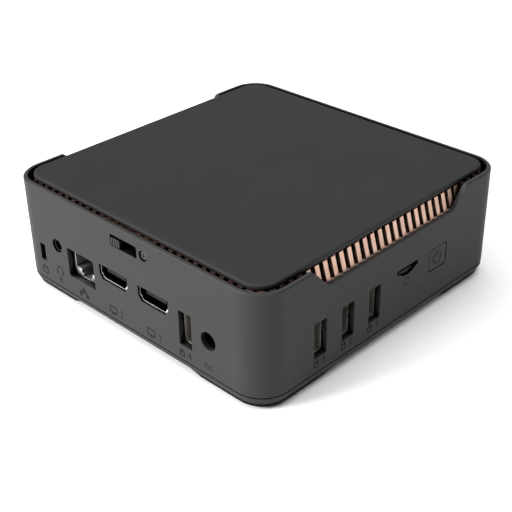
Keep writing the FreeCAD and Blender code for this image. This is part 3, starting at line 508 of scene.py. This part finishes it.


# The case's shadow value paints shade into its narrow recesses, such as the latch slot and the socket
# openings.
CASE_GREY = Moulded("case_moulded_grey", "case_grey", (0.0265, 0.0265, 0.0267), 0.55, dust=0.02, gloss=0.16,
                    shadow=0.95)
# The lid's grey is set darker than the case's to offset the strong overhead lamp: painted shade on the top.
LID_GREY = Moulded("lid_moulded_grey", "lid_grey", (0.0150, 0.0150, 0.0152), 0.62, grain=0.0003,
                   depth=0.000012, wear=0.2, dust=0.008, gloss=0.2)
# The copper trim's recess colour is painted shade: a dark reddish brown in its slots and behind the rim.
COPPER = Metal("copper_coloured_trim", "copper_trim", (0.66, 0.435, 0.335), 0.42, line=0.0002, stain=0.1,
               metallic=0.7, recess=(0.05, 0.022, 0.016))
RUBBER = Moulded("foot_rubber", "rubber", (0.012, 0.012, 0.012), 0.85, grain=0.0005, depth=0.00004,
                 wear=0.1, gloss=0.3)
SCREW_STEEL = Metal("screw_steel", "screw_steel", (0.46, 0.46, 0.47), 0.32)
# The sleeves' recess colours are painted shade, darkening the insides of the sockets.
SLEEVE = Metal("plated_sleeve", "sleeve_metal", (0.78, 0.77, 0.74), 0.26, line=0.00012, stain=0.1,
               recess=(0.01, 0.01, 0.0095), reach=0.0065, shut=0.52)
BUS_SLEEVE = Metal("plated_bus_sleeve", "sleeve_metal", (0.70, 0.69, 0.65), 0.35, line=0.00012, stain=0.1,
                   recess=(0.10, 0.10, 0.09), reach=0.0015)
# The black sockets' shadow value paints shade into their recesses.
SOCKET_BLACK = Moulded("socket_black", "socket_black", (0.005, 0.005, 0.005), 0.6, grain=0.0002,
                       depth=0.000006, wear=0.1, dust=0.0, gloss=0.2, shadow=0.9)
INSERT_GREY = Moulded("insert_grey", "insert_grey", (0.15, 0.146, 0.132), 0.5, grain=0.0002,
                      depth=0.000006, wear=0.1, dust=0.0)
NETWORK_GREY = Moulded("network_grey", "network_grey", (0.085, 0.085, 0.084), 0.5, grain=0.0002,
                       depth=0.000006, wear=0.1, dust=0.0)
GOLD = Metal("contact_gold", "contact_gold", (0.80, 0.58, 0.26), 0.22, line=0.00005, stain=0.15)
BOARD_GREEN = CircuitBoard("circuit_board_green", "circuit_board", (0.008, 0.045, 0.022), 0.38)
CHIP = Moulded("chip_resin", "chip_black", (0.016, 0.016, 0.017), 0.6, grain=0.00015, depth=0.000006,
               wear=0.2, dust=0.02)
SINK = Metal("heatsink_aluminium", "heatsink_metal", (0.62, 0.63, 0.65), 0.38, line=0.00015, stain=0.12)
FAN_BLACK = Moulded("fan_black", "fan_black", (0.014, 0.014, 0.014), 0.5, grain=0.0003, depth=0.00001,
                    wear=0.25, dust=0.12)
TRAY_STEEL = Metal("tray_zinc", "tray_steel", (0.56, 0.57, 0.58), 0.36, line=0.0003,
                   depth=0.000008, stain=0.3)
FILM = Moulded("antenna_film", "antenna_film", (0.10, 0.06, 0.03), 0.3, grain=0.0006, depth=0.000006,
               wear=0.1, dust=0.0)
LEAD = Moulded("lead_cover", "lead_cover", (0.02, 0.02, 0.02), 0.45, grain=0.0003, depth=0.000006,
               wear=0.05, dust=0.02)
CREAM = Moulded("connector_cream", "connector_cream", (0.62, 0.58, 0.46), 0.5, grain=0.0002,
                depth=0.000008, wear=0.1, dust=0.05)
TIN = Metal("solder_tin", "screw_steel", (0.60, 0.60, 0.61), 0.3, line=0.0003, stain=0.1)
CERAMIC = Moulded("capacitor_ceramic", "connector_cream", (0.36, 0.24, 0.13), 0.5, grain=0.0001,
                  depth=0.000002, wear=0.0, dust=0.02)
FOIL = Metal("label_foil", "screw_steel", (0.55, 0.56, 0.58), 0.35, line=0.0004, stain=0.2)
LOCK_GREY = Moulded("lock_grey", "lock_grey", (0.030, 0.030, 0.031), 0.5, grain=0.00025, depth=0.000008,
                    wear=0.4, dust=0.0)
PRINT = Moulded("printed_mark", "socket_black", (0.006, 0.006, 0.006), 0.7, grain=0.0002, depth=0.000002,
                wear=0.0, dust=0.0, gloss=0.1)


# ---------------------------------------------------------------- making pieces
def seat(shape: bmesh.types.BMesh, name: str, body: str, finish: Finish,
         smooth: float = 30.0) -> bpy.types.Object:
    """Turns a finished shape into a piece that rides on a body.

    Args:
        shape: The shape, in place and in metres. It is freed.
        name: The piece's name.
        body: The body that it rides on.
        finish: Its finish.
        smooth: Edges sharper than this many degrees stay sharp.

    Returns:
        The piece.
    """
    mesh = bpy.data.meshes.new(name)
    shape.to_mesh(mesh)
    shape.free()
    for layer in ("custom_normal", "sharp_face"):
        if mesh.attributes.get(layer):
            mesh.attributes.remove(mesh.attributes[layer])
    mesh.polygons.foreach_set("use_smooth", [True] * len(mesh.polygons))
    mesh.set_sharp_from_angle(angle=math.radians(smooth))
    piece = bpy.data.objects.new(name, mesh)
    bpy.context.scene.collection.objects.link(piece)
    finish.wrap(piece)
    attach(piece, body)
    return piece


@dataclass
class SoftEdged:
    """A node of the solid model made again with its edges rounded.

    Attributes:
        node: The node that the piece stands for.
        name: The piece's name.
        body: The body that it rides on.
        finish: Its finish.
        radius: Size of the rounding, in metres.
        steps: Number of faces across the rounding.
        angle: Edges that turn more than this many degrees are rounded.
    """

    node: str
    name: str
    body: str
    finish: Finish
    radius: float = 0.0002
    steps: int = 2
    angle: float = 32.0

    def chosen(self, edge: bmesh.types.BMEdge) -> bool:
        """Tells whether an edge is rounded.

        Args:
            edge: The edge.

        Returns:
            True for a sharp outer edge.
        """
        if not edge.is_manifold or not edge.is_convex:
            return False
        return math.degrees(edge.calc_face_angle(0.0)) > self.angle

    def build(self) -> bpy.types.Object:
        """Makes the piece, and hides the node behind it.

        Returns:
            The piece.
        """
        shape = bmesh.new()
        shape.from_mesh(frame["nodes"][self.node].data)
        bmesh.ops.remove_doubles(shape, verts=shape.verts, dist=2e-6)
        bmesh.ops.dissolve_limit(shape, angle_limit=math.radians(0.6), verts=shape.verts, edges=shape.edges)
        edges = [edge for edge in shape.edges if self.chosen(edge)]
        bmesh.ops.bevel(shape, geom=edges, offset=self.radius, offset_type="OFFSET", segments=self.steps,
                        profile=0.5, affect="EDGES", clamp_overlap=True, material=-1)
        piece = seat(shape, self.name, self.body, self.finish)
        even = piece.modifiers.new("Even shading", "WEIGHTED_NORMAL")
        even.keep_sharp = True
        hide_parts(self.node)
        return piece


# ---------------------------------------------------------------- sub-assemblies
@dataclass
class Case:
    """The housing, the bottom cover, and what stands and holds under them."""

    def build(self) -> None:
        """Makes and dresses every piece of the case."""
        SoftEdged("housing", "housing_wall", "case", CASE_GREY, radius=0.00022).build()
        SoftEdged("bottom_cover", "base_cover", "case", CASE_GREY, radius=0.0003).build()
        SoftEdged("rubber_feet", "foot_pads", "case", RUBBER, radius=0.0003, steps=3).build()
        CASE_GREY.wrap(frame["nodes"]["ring_shelf"])
        SCREW_STEEL.wrap(frame["nodes"]["bottom_screws"])
        TRAY_STEEL.wrap(frame["nodes"]["security_plate"])


@dataclass
class VentAndLid:
    """The slatted ring and the lid that lifts out of it."""

    def build(self) -> None:
        """Makes and dresses the ring and the lid."""
        SoftEdged("vent_ring", "slatted_ring", "case", COPPER, radius=0.00012, steps=1).build()
        SoftEdged("lid", "lid_plate", "lid", LID_GREY, radius=0.0004, steps=3, angle=20.0).build()
        SOCKET_BLACK.wrap(frame["nodes"]["dust_screen"])


@dataclass
class Latch:
    """The sliding latch and its round lock screw."""

    def build(self) -> None:
        """Makes and dresses the latch."""
        SoftEdged("latch_slider", "latch_knob", "latch", CASE_GREY, radius=0.00015).build()
        SoftEdged("latch_guide", "latch_rails", "case", SOCKET_BLACK, radius=0.0001, steps=1).build()
        SoftEdged("lock_screw", "lock_screw_head", "case", LOCK_GREY, radius=0.0001).build()


class Stroke:
    """Flat pieces of a printed mark, drawn in millimetres on a level sheet."""

    THICK = 0.03
    STEP = 12.0

    def __init__(self) -> None:
        """Starts an empty mark."""
        self.shape = bmesh.new()

    def bar(self, start: Spot, end: Spot, width: float = 0.36) -> "Stroke":
        """Adds a straight bar.

        Args:
            start: One end.
            end: The other end.
            width: The bar's width.

        Returns:
            The mark itself.
        """
        run = Vector((*end, 0.0)) - Vector((*start, 0.0))
        place = Matrix.Translation((Vector((*start, 0.0)) + Vector((*end, 0.0))) / 2)
        turn = Matrix.Rotation(math.atan2(run.y, run.x), 4, "Z")
        size = Matrix.Diagonal((run.length + width * 0.5, width, self.THICK, 1.0))
        bmesh.ops.create_cube(self.shape, size=1.0, matrix=place @ turn @ size)
        return self

    def arc(self, centre: Spot, radius: float, first: float = 0.0, last: float = 360.0,
            width: float = 0.36) -> "Stroke":
        """Adds a ring or a part of one.

        Args:
            centre: The ring's centre.
            radius: Its middle radius.
            first: The angle that it starts at, in degrees.
            last: The angle that it ends at.
            width: The ring's width.

        Returns:
            The mark itself.
        """
        section = Matrix.Diagonal((width, 1e-5, self.THICK, 1.0))
        verts = bmesh.ops.create_cube(self.shape, size=1.0, matrix=section)["verts"]
        around = list(dict.fromkeys(face for vert in verts for face in vert.link_faces))
        faces = [face for face in around if face.normal.y > 0.5]
        others = [face for face in around if face not in faces]
        bmesh.ops.delete(self.shape, geom=others, context="FACES_ONLY")
        keep = faces[0].verts[:]
        loose = [vert for vert in verts if vert.is_valid and vert not in keep]
        bmesh.ops.delete(self.shape, geom=loose, context="VERTS")
        turn = Matrix.Rotation(math.radians(first), 4, "Z")
        place = Matrix.Translation((*centre, 0.0)) @ turn @ Matrix.Translation((radius, 0.0, 0.0))
        bmesh.ops.transform(self.shape, matrix=place, verts=keep)
        sweep = last - first
        bmesh.ops.spin(self.shape, geom=faces + keep + list(faces[0].edges), cent=(*centre, 0.0),
                       axis=(0.0, 0.0, 1.0), angle=math.radians(sweep), steps=max(6, int(sweep / self.STEP)),
                       use_merge=sweep >= 359.9)
        return self

    def box(self, centre: Spot, width: float, height: float, line: float = 0.36) -> "Stroke":
        """Adds a rectangle's outline.

        Args:
            centre: Its centre.
            width: Its width.
            height: Its height.
            line: Width of its line.

        Returns:
            The mark itself.
        """
        a, b = centre
        x, y = width / 2, height / 2
        for start, end in (((-x, -y), (x, -y)), ((x, -y), (x, y)), ((x, y), (-x, y)), ((-x, y), (-x, -y))):
            self.bar((a + start[0], b + start[1]), (a + end[0], b + end[1]), line)
        return self

    def digit(self, number: int, centre: Spot, height: float = 2.2) -> "Stroke":
        """Adds a plain number.

        Args:
            number: The number.
            centre: Its centre.
            height: Its height.

        Returns:
            The mark itself.
        """
        curve = bpy.data.curves.new("number", "FONT")
        curve.body = str(number)
        curve.size = height * 1.4
        curve.extrude = self.THICK / 2
        curve.align_x = "CENTER"
        curve.align_y = "CENTER"
        holder = bpy.data.objects.new("number", curve)
        mesh = bpy.data.meshes.new_from_object(holder)
        mesh.transform(Matrix.Translation((*centre, 0.0)))
        self.shape.from_mesh(mesh)
        bpy.data.objects.remove(holder)
        bpy.data.meshes.remove(mesh)
        bpy.data.curves.remove(curve)
        return self

    def place(self, name: str, wall: Wall, at: Vector, body: str = "case",
              grow: float = 1.3) -> bpy.types.Object:
        """Lays the mark on a wall.

        Args:
            name: The piece's name.
            wall: The wall that it lies on.
            at: Where its centre goes, in metres.
            body: The body that it rides on.
            grow: How many times larger than drawn the mark is.

        Returns:
            The piece.
        """
        size = Matrix.Diagonal((MM * grow, MM * grow, MM, 1.0))
        matrix = Matrix.Translation(at) @ wall.value.to_4x4() @ size
        bmesh.ops.remove_doubles(self.shape, verts=self.shape.verts, dist=1e-4)
        bmesh.ops.recalc_face_normals(self.shape, faces=self.shape.faces)
        bmesh.ops.transform(self.shape, matrix=matrix, verts=self.shape.verts)
        return seat(self.shape, name, body, PRINT)


@dataclass
class PortPanel:
    """The sockets on the port panel, and the plain marks under them.

    Attributes:
        face: Where the panel stands along Y, in millimetres.
        row: Height of the row of marks.
    """

    face: float = -63.5
    row: float = 8.9

    def build(self) -> None:
        """Makes and dresses the sockets, then prints the marks."""
        nodes = frame["nodes"]
        SoftEdged("lan_shield", "network_can", "case", SLEEVE, radius=0.00012).build()
        SoftEdged("display_shells", "display_sleeves", "case", SLEEVE, radius=0.00012).build()
        SoftEdged("display_tongues", "display_blades", "case", SOCKET_BLACK, radius=0.00008,
                  steps=1).build()
        SoftEdged("bus_shells", "bus_sleeves", "case", BUS_SLEEVE, radius=0.00012).build()
        SoftEdged("bus_tongues", "bus_blades", "case", INSERT_GREY, radius=0.00012, steps=1).build()
        SoftEdged("phones_jack", "headphone_jack", "case", SOCKET_BLACK, radius=0.0002).build()
        SoftEdged("dc_jack", "power_jack", "case", SOCKET_BLACK, radius=0.0002).build()
        NETWORK_GREY.wrap(nodes["lan_insert"])
        GOLD.wrap(nodes["lan_contacts"], nodes["bus_contacts"])
        SLEEVE.wrap(nodes["dc_pin"])
        self.marks()

    def at(self, x: float, z: float) -> Vector:
        """Finds a point on the panel.

        Args:
            x: Its place across the panel, in millimetres.
            z: Its height.

        Returns:
            The point, in metres.
        """
        return mm(x, self.face, z)

    def marks(self) -> None:
        """Prints a padlock, a headset, a microphone, a network, two screens, a plug and a current sign."""
        padlock = Stroke().box((0.0, -0.6), 2.2, 1.7).arc((0.0, 0.4), 0.75, 0.0, 180.0)
        padlock.place("mark_padlock", Wall.PORTS, self.at(-48.8, self.row + 0.9))
        headset = Stroke().arc((0.0, 0.0), 1.3, -10.0, 190.0)
        for side in (-1.3, 1.3):
            headset.bar((side, -0.2), (side, -1.2), 0.6)
        headset.place("mark_headset", Wall.PORTS, self.at(-39.3, 12.7))
        microphone = Stroke().bar((0.0, 0.6), (0.0, -0.1), 0.8).arc((0.0, 0.1), 0.85, 200.0, 340.0, 0.22)
        microphone.bar((0.0, -0.8), (0.0, -1.3), 0.25)
        microphone.place("mark_microphone", Wall.PORTS, self.at(-39.3, self.row))
        network = Stroke()
        for centre in ((0.0, 0.9), (-1.5, -0.9), (1.5, -0.9)):
            network.box(centre, 0.9, 0.7)
        network.bar((0.0, 0.5), (0.0, 0.0)).bar((-1.5, 0.0), (1.5, 0.0))
        for side in (-1.5, 1.5):
            network.bar((side, 0.0), (side, -0.5))
        network.place("mark_network", Wall.PORTS, self.at(-25.6, self.row + 0.1))
        for number, x in ((2, -7.2), (1, 12.9)):
            screen = Stroke().box((-1.4, 0.25), 2.9, 1.8).bar((-2.1, -1.1), (-0.7, -1.1))
            screen.digit(number, (2.1, 0.0)).place(f"mark_screen_{number}", Wall.PORTS, self.at(x, self.row))
        self.plug(4).place("mark_plug_4", Wall.PORTS, self.at(28.5, 8.6))
        current = Stroke().bar((-1.3, 0.45), (1.3, 0.45))
        for start, end in ((-1.3, -0.8), (-0.25, 0.25), (0.8, 1.3)):
            current.bar((start, -0.4), (end, -0.4))
        current.place("mark_current", Wall.PORTS, self.at(39.0, self.row))

    @staticmethod
    def plug(number: int) -> Stroke:
        """Draws a small plug beside its number.

        Args:
            number: The socket's number.

        Returns:
            The mark.
        """
        mark = Stroke().box((-1.5, -0.3), 1.5, 1.3).box((-1.5, 0.8), 0.9, 0.7, 0.25)
        return mark.digit(number, (1.3, 0.0))


@dataclass
class SideControls:
    """The +X side: three sockets' marks, the card slot and the power button.

    Attributes:
        face: Where the side stands along X, in millimetres.
        sockets: The place along Y of each serial-bus socket, by its number.
    """

    face: float = 63.5
    sockets: dict[int, float] = field(default_factory=lambda: {3: -36.9, 2: -23.4, 1: -9.7})

    def build(self) -> None:
        """Makes and dresses the button and the card slot, then prints the marks."""
        SoftEdged("power_button", "button_cap", "button", CASE_GREY, radius=0.0002).build()
        SLEEVE.wrap(frame["nodes"]["card_socket"])
        SOCKET_BLACK.wrap(frame["nodes"]["switch_body"], frame["nodes"]["switch_plunger"])
        for number, y in self.sockets.items():
            PortPanel.plug(number).place(f"mark_plug_{number}", Wall.SIDE, mm(self.face, y, 9.3))
        card = Stroke()
        corners = ((-0.9, -1.0), (0.9, -1.0), (0.9, 1.0), (-0.3, 1.0), (-0.9, 0.4), (-0.9, -1.0))
        for start, end in zip(corners, corners[1:]):
            card.bar(start, end, 0.25)
        card.place("mark_card", Wall.SIDE, mm(self.face, 7.7, 19.3))
        power = Stroke().arc((0.0, 0.0), 1.7, 125.0, 415.0, 0.38).bar((0.0, 0.5), (0.0, 2.0), 0.38)
        power.place("mark_power", Wall.SIDE, mm(self.face - 0.05, 25.4, 21.2), "button")


@dataclass
class Cooling:
    """The heatsink and its fan.

    Attributes:
        label_radius: Radius of the label on the fan's motor seat, in metres.
        label_thick: Its thickness.
    """

    label_radius: float = 0.0082
    label_thick: float = 0.00008

    def build(self) -> None:
        """Dresses the cooling parts, and puts the label on the fan."""
        nodes = frame["nodes"]
        SINK.wrap(nodes["heatsink"])
        FAN_BLACK.wrap(nodes["fan_frame"], nodes["fan_rotor"])
        SCREW_STEEL.wrap(nodes["fan_screws"], nodes["heatsink_screws"])
        CREAM.wrap(nodes["fan_header"])
        LEAD.wrap(nodes["fan_lead"])
        low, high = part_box("fan_frame")
        centre = (low + high) / 2
        place = Matrix.Translation((centre.x, centre.y, low.z - self.label_thick / 2))
        label = bmesh.new()
        bmesh.ops.create_cone(label, cap_ends=True, segments=64, radius1=self.label_radius,
                              radius2=self.label_radius, depth=self.label_thick, matrix=place)
        seat(label, "fan_foil_label", "case", FOIL)


@dataclass
class BoardParts:
    """Small parts soldered on the motherboard's top, where the drive tray leaves it open.

    Attributes:
        top: Height of the board's top, in millimetres.
        pitch: Spacing of the grid that the parts stand on.
        strips: The open strips, as lowest and highest X, then lowest and highest Y.
        sizes: Length, width and height of each kind of part.
        mix: The kinds that a place on the grid is chosen from.
        leg: Length, width and height of a leg.
        seed: Start of the random choice of parts.
    """

    top: float = 27.8
    pitch: float = 2.9
    strips: tuple[tuple[float, float, float, float], ...] = (
        (-45.0, 45.0, 43.6, 55.4), (-45.0, 45.0, -55.4, -43.6),
        (47.6, 55.6, 27.0, 44.0), (47.6, 55.6, -44.0, -27.0))
    sizes: dict[str, Size] = field(default_factory=lambda: {
        "resistor": (1.6, 0.8, 0.45), "capacitor": (2.0, 1.25, 0.9), "transistor": (2.0, 1.3, 0.9)})
    mix: tuple[str, ...] = ("none", "none", "resistor", "resistor", "capacitor", "transistor")
    leg: Size = (0.4, 0.5, 0.15)
    seed: int = 7

    def build(self) -> None:
        """Makes the small parts, sorted by what they are made of."""
        draw = random.Random(self.seed)
        shapes = {"resin": bmesh.new(), "tin": bmesh.new(), "ceramic": bmesh.new()}
        for x0, x1, y0, y1 in self.strips:
            for i in range(int((x1 - x0) / self.pitch)):
                for j in range(int((y1 - y0) / self.pitch)):
                    spot = (x0 + (i + 0.5) * self.pitch, y0 + (j + 0.5) * self.pitch)
                    kind = draw.choice(self.mix)
                    across = draw.choice((False, True))
                    if kind in self.sizes:
                        self.part(shapes, kind, spot, across)
        seat(shapes["resin"], "board_resin_parts", "case", CHIP)
        seat(shapes["tin"], "board_solder_ends", "case", TIN)
        seat(shapes["ceramic"], "board_ceramic_parts", "case", CERAMIC)

    def part(self, shapes: dict[str, bmesh.types.BMesh], kind: str, spot: Spot, across: bool) -> None:
        """Adds one part to the shapes.

        Args:
            shapes: The shapes, by what they are made of.
            kind: What the part is.
            spot: Its centre.
            across: Whether it lies along Y.
        """
        long, wide, high = self.sizes[kind]
        body = "ceramic" if kind == "capacitor" else "resin"
        self.block(shapes[body], spot, (long * 0.72, wide, high), across)
        if kind == "transistor":
            reach = wide / 2 + 0.2
            size = self.leg
            shifts = ((-0.65, -reach), (0.65, -reach), (0.0, reach))
        else:
            size = (long * 0.14, wide, high)
            shifts = ((-long * 0.43, 0.0), (long * 0.43, 0.0))
        for shift in shifts:
            self.block(shapes["tin"], self.beside(spot, shift, across), size, across)

    @staticmethod
    def beside(spot: Spot, shift: Spot, across: bool) -> Spot:
        """Finds a point beside a spot.

        Args:
            spot: The spot.
            shift: How far along the part and across it the point is.
            across: Whether the part lies along Y.

        Returns:
            The point.
        """
        a, b = (-shift[1], shift[0]) if across else shift
        return spot[0] + a, spot[1] + b

    def block(self, shape: bmesh.types.BMesh, spot: Spot, size: Size, across: bool) -> None:
        """Adds a block that stands on the board.

        Args:
            shape: The shape to add to.
            spot: Its centre.
            size: Its length, width and height.
            across: Whether it lies along Y.
        """
        long, wide, high = size
        if across:
            long, wide = wide, long
        place = Matrix.Translation(mm(*spot, self.top + high / 2))
        extent = Matrix.Diagonal((long * MM, wide * MM, high * MM, 1.0))
        bmesh.ops.create_cube(shape, size=1.0, matrix=place @ extent)


@dataclass
class Electronics:
    """The motherboard and what is soldered or plugged to it."""

    def build(self) -> None:
        """Dresses the electronics."""
        nodes = frame["nodes"]
        BOARD_GREEN.wrap(nodes["motherboard"], nodes["wireless_card"], nodes["riser_board"])
        CHIP.wrap(nodes["processor"], nodes["memory_chips"], nodes["storage_chip"], nodes["coils"],
                  nodes["lan_transformer"])
        SINK.wrap(nodes["capacitors"])
        SOCKET_BLACK.wrap(nodes["wireless_socket"], nodes["battery_holder"])
        SCREW_STEEL.wrap(nodes["board_screws"], nodes["card_screw"], nodes["clock_battery"])
        GOLD.wrap(nodes["card_standoff"])
        FILM.wrap(nodes["antennas"])
        LEAD.wrap(nodes["antenna_leads"])
        BoardParts().build()


@dataclass
class DriveBay:
    """The tray for a drive, and the riser with its connector."""

    def build(self) -> None:
        """Dresses the bay."""
        nodes = frame["nodes"]
        TRAY_STEEL.wrap(nodes["drive_tray"], nodes["tray_walls"])
        GOLD.wrap(nodes["tray_standoffs"])
        SCREW_STEEL.wrap(nodes["tray_screws"])
        CREAM.wrap(nodes["riser_socket"])
        SOCKET_BLACK.wrap(nodes["drive_connector"])


# ---------------------------------------------------------------- stage
@dataclass
class Studio:
    """The floor, the soft lights and the camera.

    Attributes:
        eye: Where the camera stands, in metres.
        look: The way that it looks.
        roll: How far it leans, in radians.
        lens: Its focal length, in millimetres.
    """

    eye: Vector = field(default_factory=lambda: mm(239.6, -243.0, 210.0))
    look: Vector = field(default_factory=lambda: Vector((-0.60525, 0.61019, -0.51122)))
    roll: float = math.radians(-1.02)
    lens: float = 72.95

    def build(self) -> None:
        """Sets the whole stage."""
        self.floor()
        self.world()
        self.lamp("key", mm(-420.0, -700.0, 330.0), 30.0, 5.9)
        self.lamp("overhead", mm(-60.0, 60.0, 900.0), 80.0, 3.0)
        self.camera()

    def floor(self) -> None:
        """Lays a plain pale floor."""
        shape = bmesh.new()
        bmesh.ops.create_grid(shape, x_segments=1, y_segments=1, size=6.0)
        mesh = bpy.data.meshes.new("floor")
        shape.to_mesh(mesh)
        shape.free()
        paint = bpy.data.materials.new("floor_white")
        paint.use_nodes = True
        shader = paint.node_tree.nodes["Principled BSDF"]
        shader.inputs["Base Color"].default_value = (0.97, 0.97, 0.97, 1.0)
        shader.inputs["Roughness"].default_value = 0.9
        shader.inputs["Specular IOR Level"].default_value = 0.1
        mesh.materials.append(paint)
        ground = bpy.data.objects.new("floor", mesh)
        bpy.context.scene.collection.objects.link(ground)

    def world(self) -> None:
        """Lights the surroundings evenly."""
        sky = bpy.data.worlds.new("studio")
        sky.use_nodes = True
        back = sky.node_tree.nodes["Background"]
        back.inputs["Color"].default_value = WHITE
        back.inputs["Strength"].default_value = 0.25
        bpy.context.scene.world = sky
        bpy.context.scene.view_settings.view_transform = "Standard"

    def lamp(self, name: str, toward: Vector, spread: float, power: float) -> None:
        """Adds a wide soft lamp, far enough away to light the whole floor evenly.

        Args:
            name: The lamp's name.
            toward: The way from the case to the lamp.
            spread: How wide the lamp looks from the case, in degrees.
            power: Its strength.
        """
        light = bpy.data.lights.new(name, "SUN")
        light.angle = math.radians(spread)
        light.energy = power
        holder = bpy.data.objects.new(name, light)
        holder.location = toward
        holder.rotation_mode = "QUATERNION"
        holder.rotation_quaternion = (-toward).to_track_quat("-Z", "Y")
        bpy.context.scene.collection.objects.link(holder)

    def camera(self) -> None:
        """Places the camera."""
        data = bpy.data.cameras.new("camera")
        data.lens = self.lens
        data.sensor_width = 36.0
        data.clip_start = 0.01
        holder = bpy.data.objects.new("camera", data)
        holder.location = self.eye
        holder.rotation_mode = "QUATERNION"
        lean = Quaternion((0.0, 0.0, 1.0), self.roll)
        holder.rotation_quaternion = self.look.to_track_quat("-Z", "Y") @ lean
        bpy.context.scene.collection.objects.link(holder)
        bpy.context.scene.camera = holder


def main() -> None:
    """Builds every sub-assembly in order."""
    logging.basicConfig(level=logging.INFO, format="%(name)s: %(message)s")
    for part in (Studio(), Case(), VentAndLid(), Latch(), PortPanel(), SideControls(), Cooling(),
                 Electronics(), DriveBay()):
        before = len(bpy.data.objects)
        part.build()
        log.info("%s: %d new objects", type(part).__name__, len(bpy.data.objects) - before)


if __name__ == "__main__":
    main()
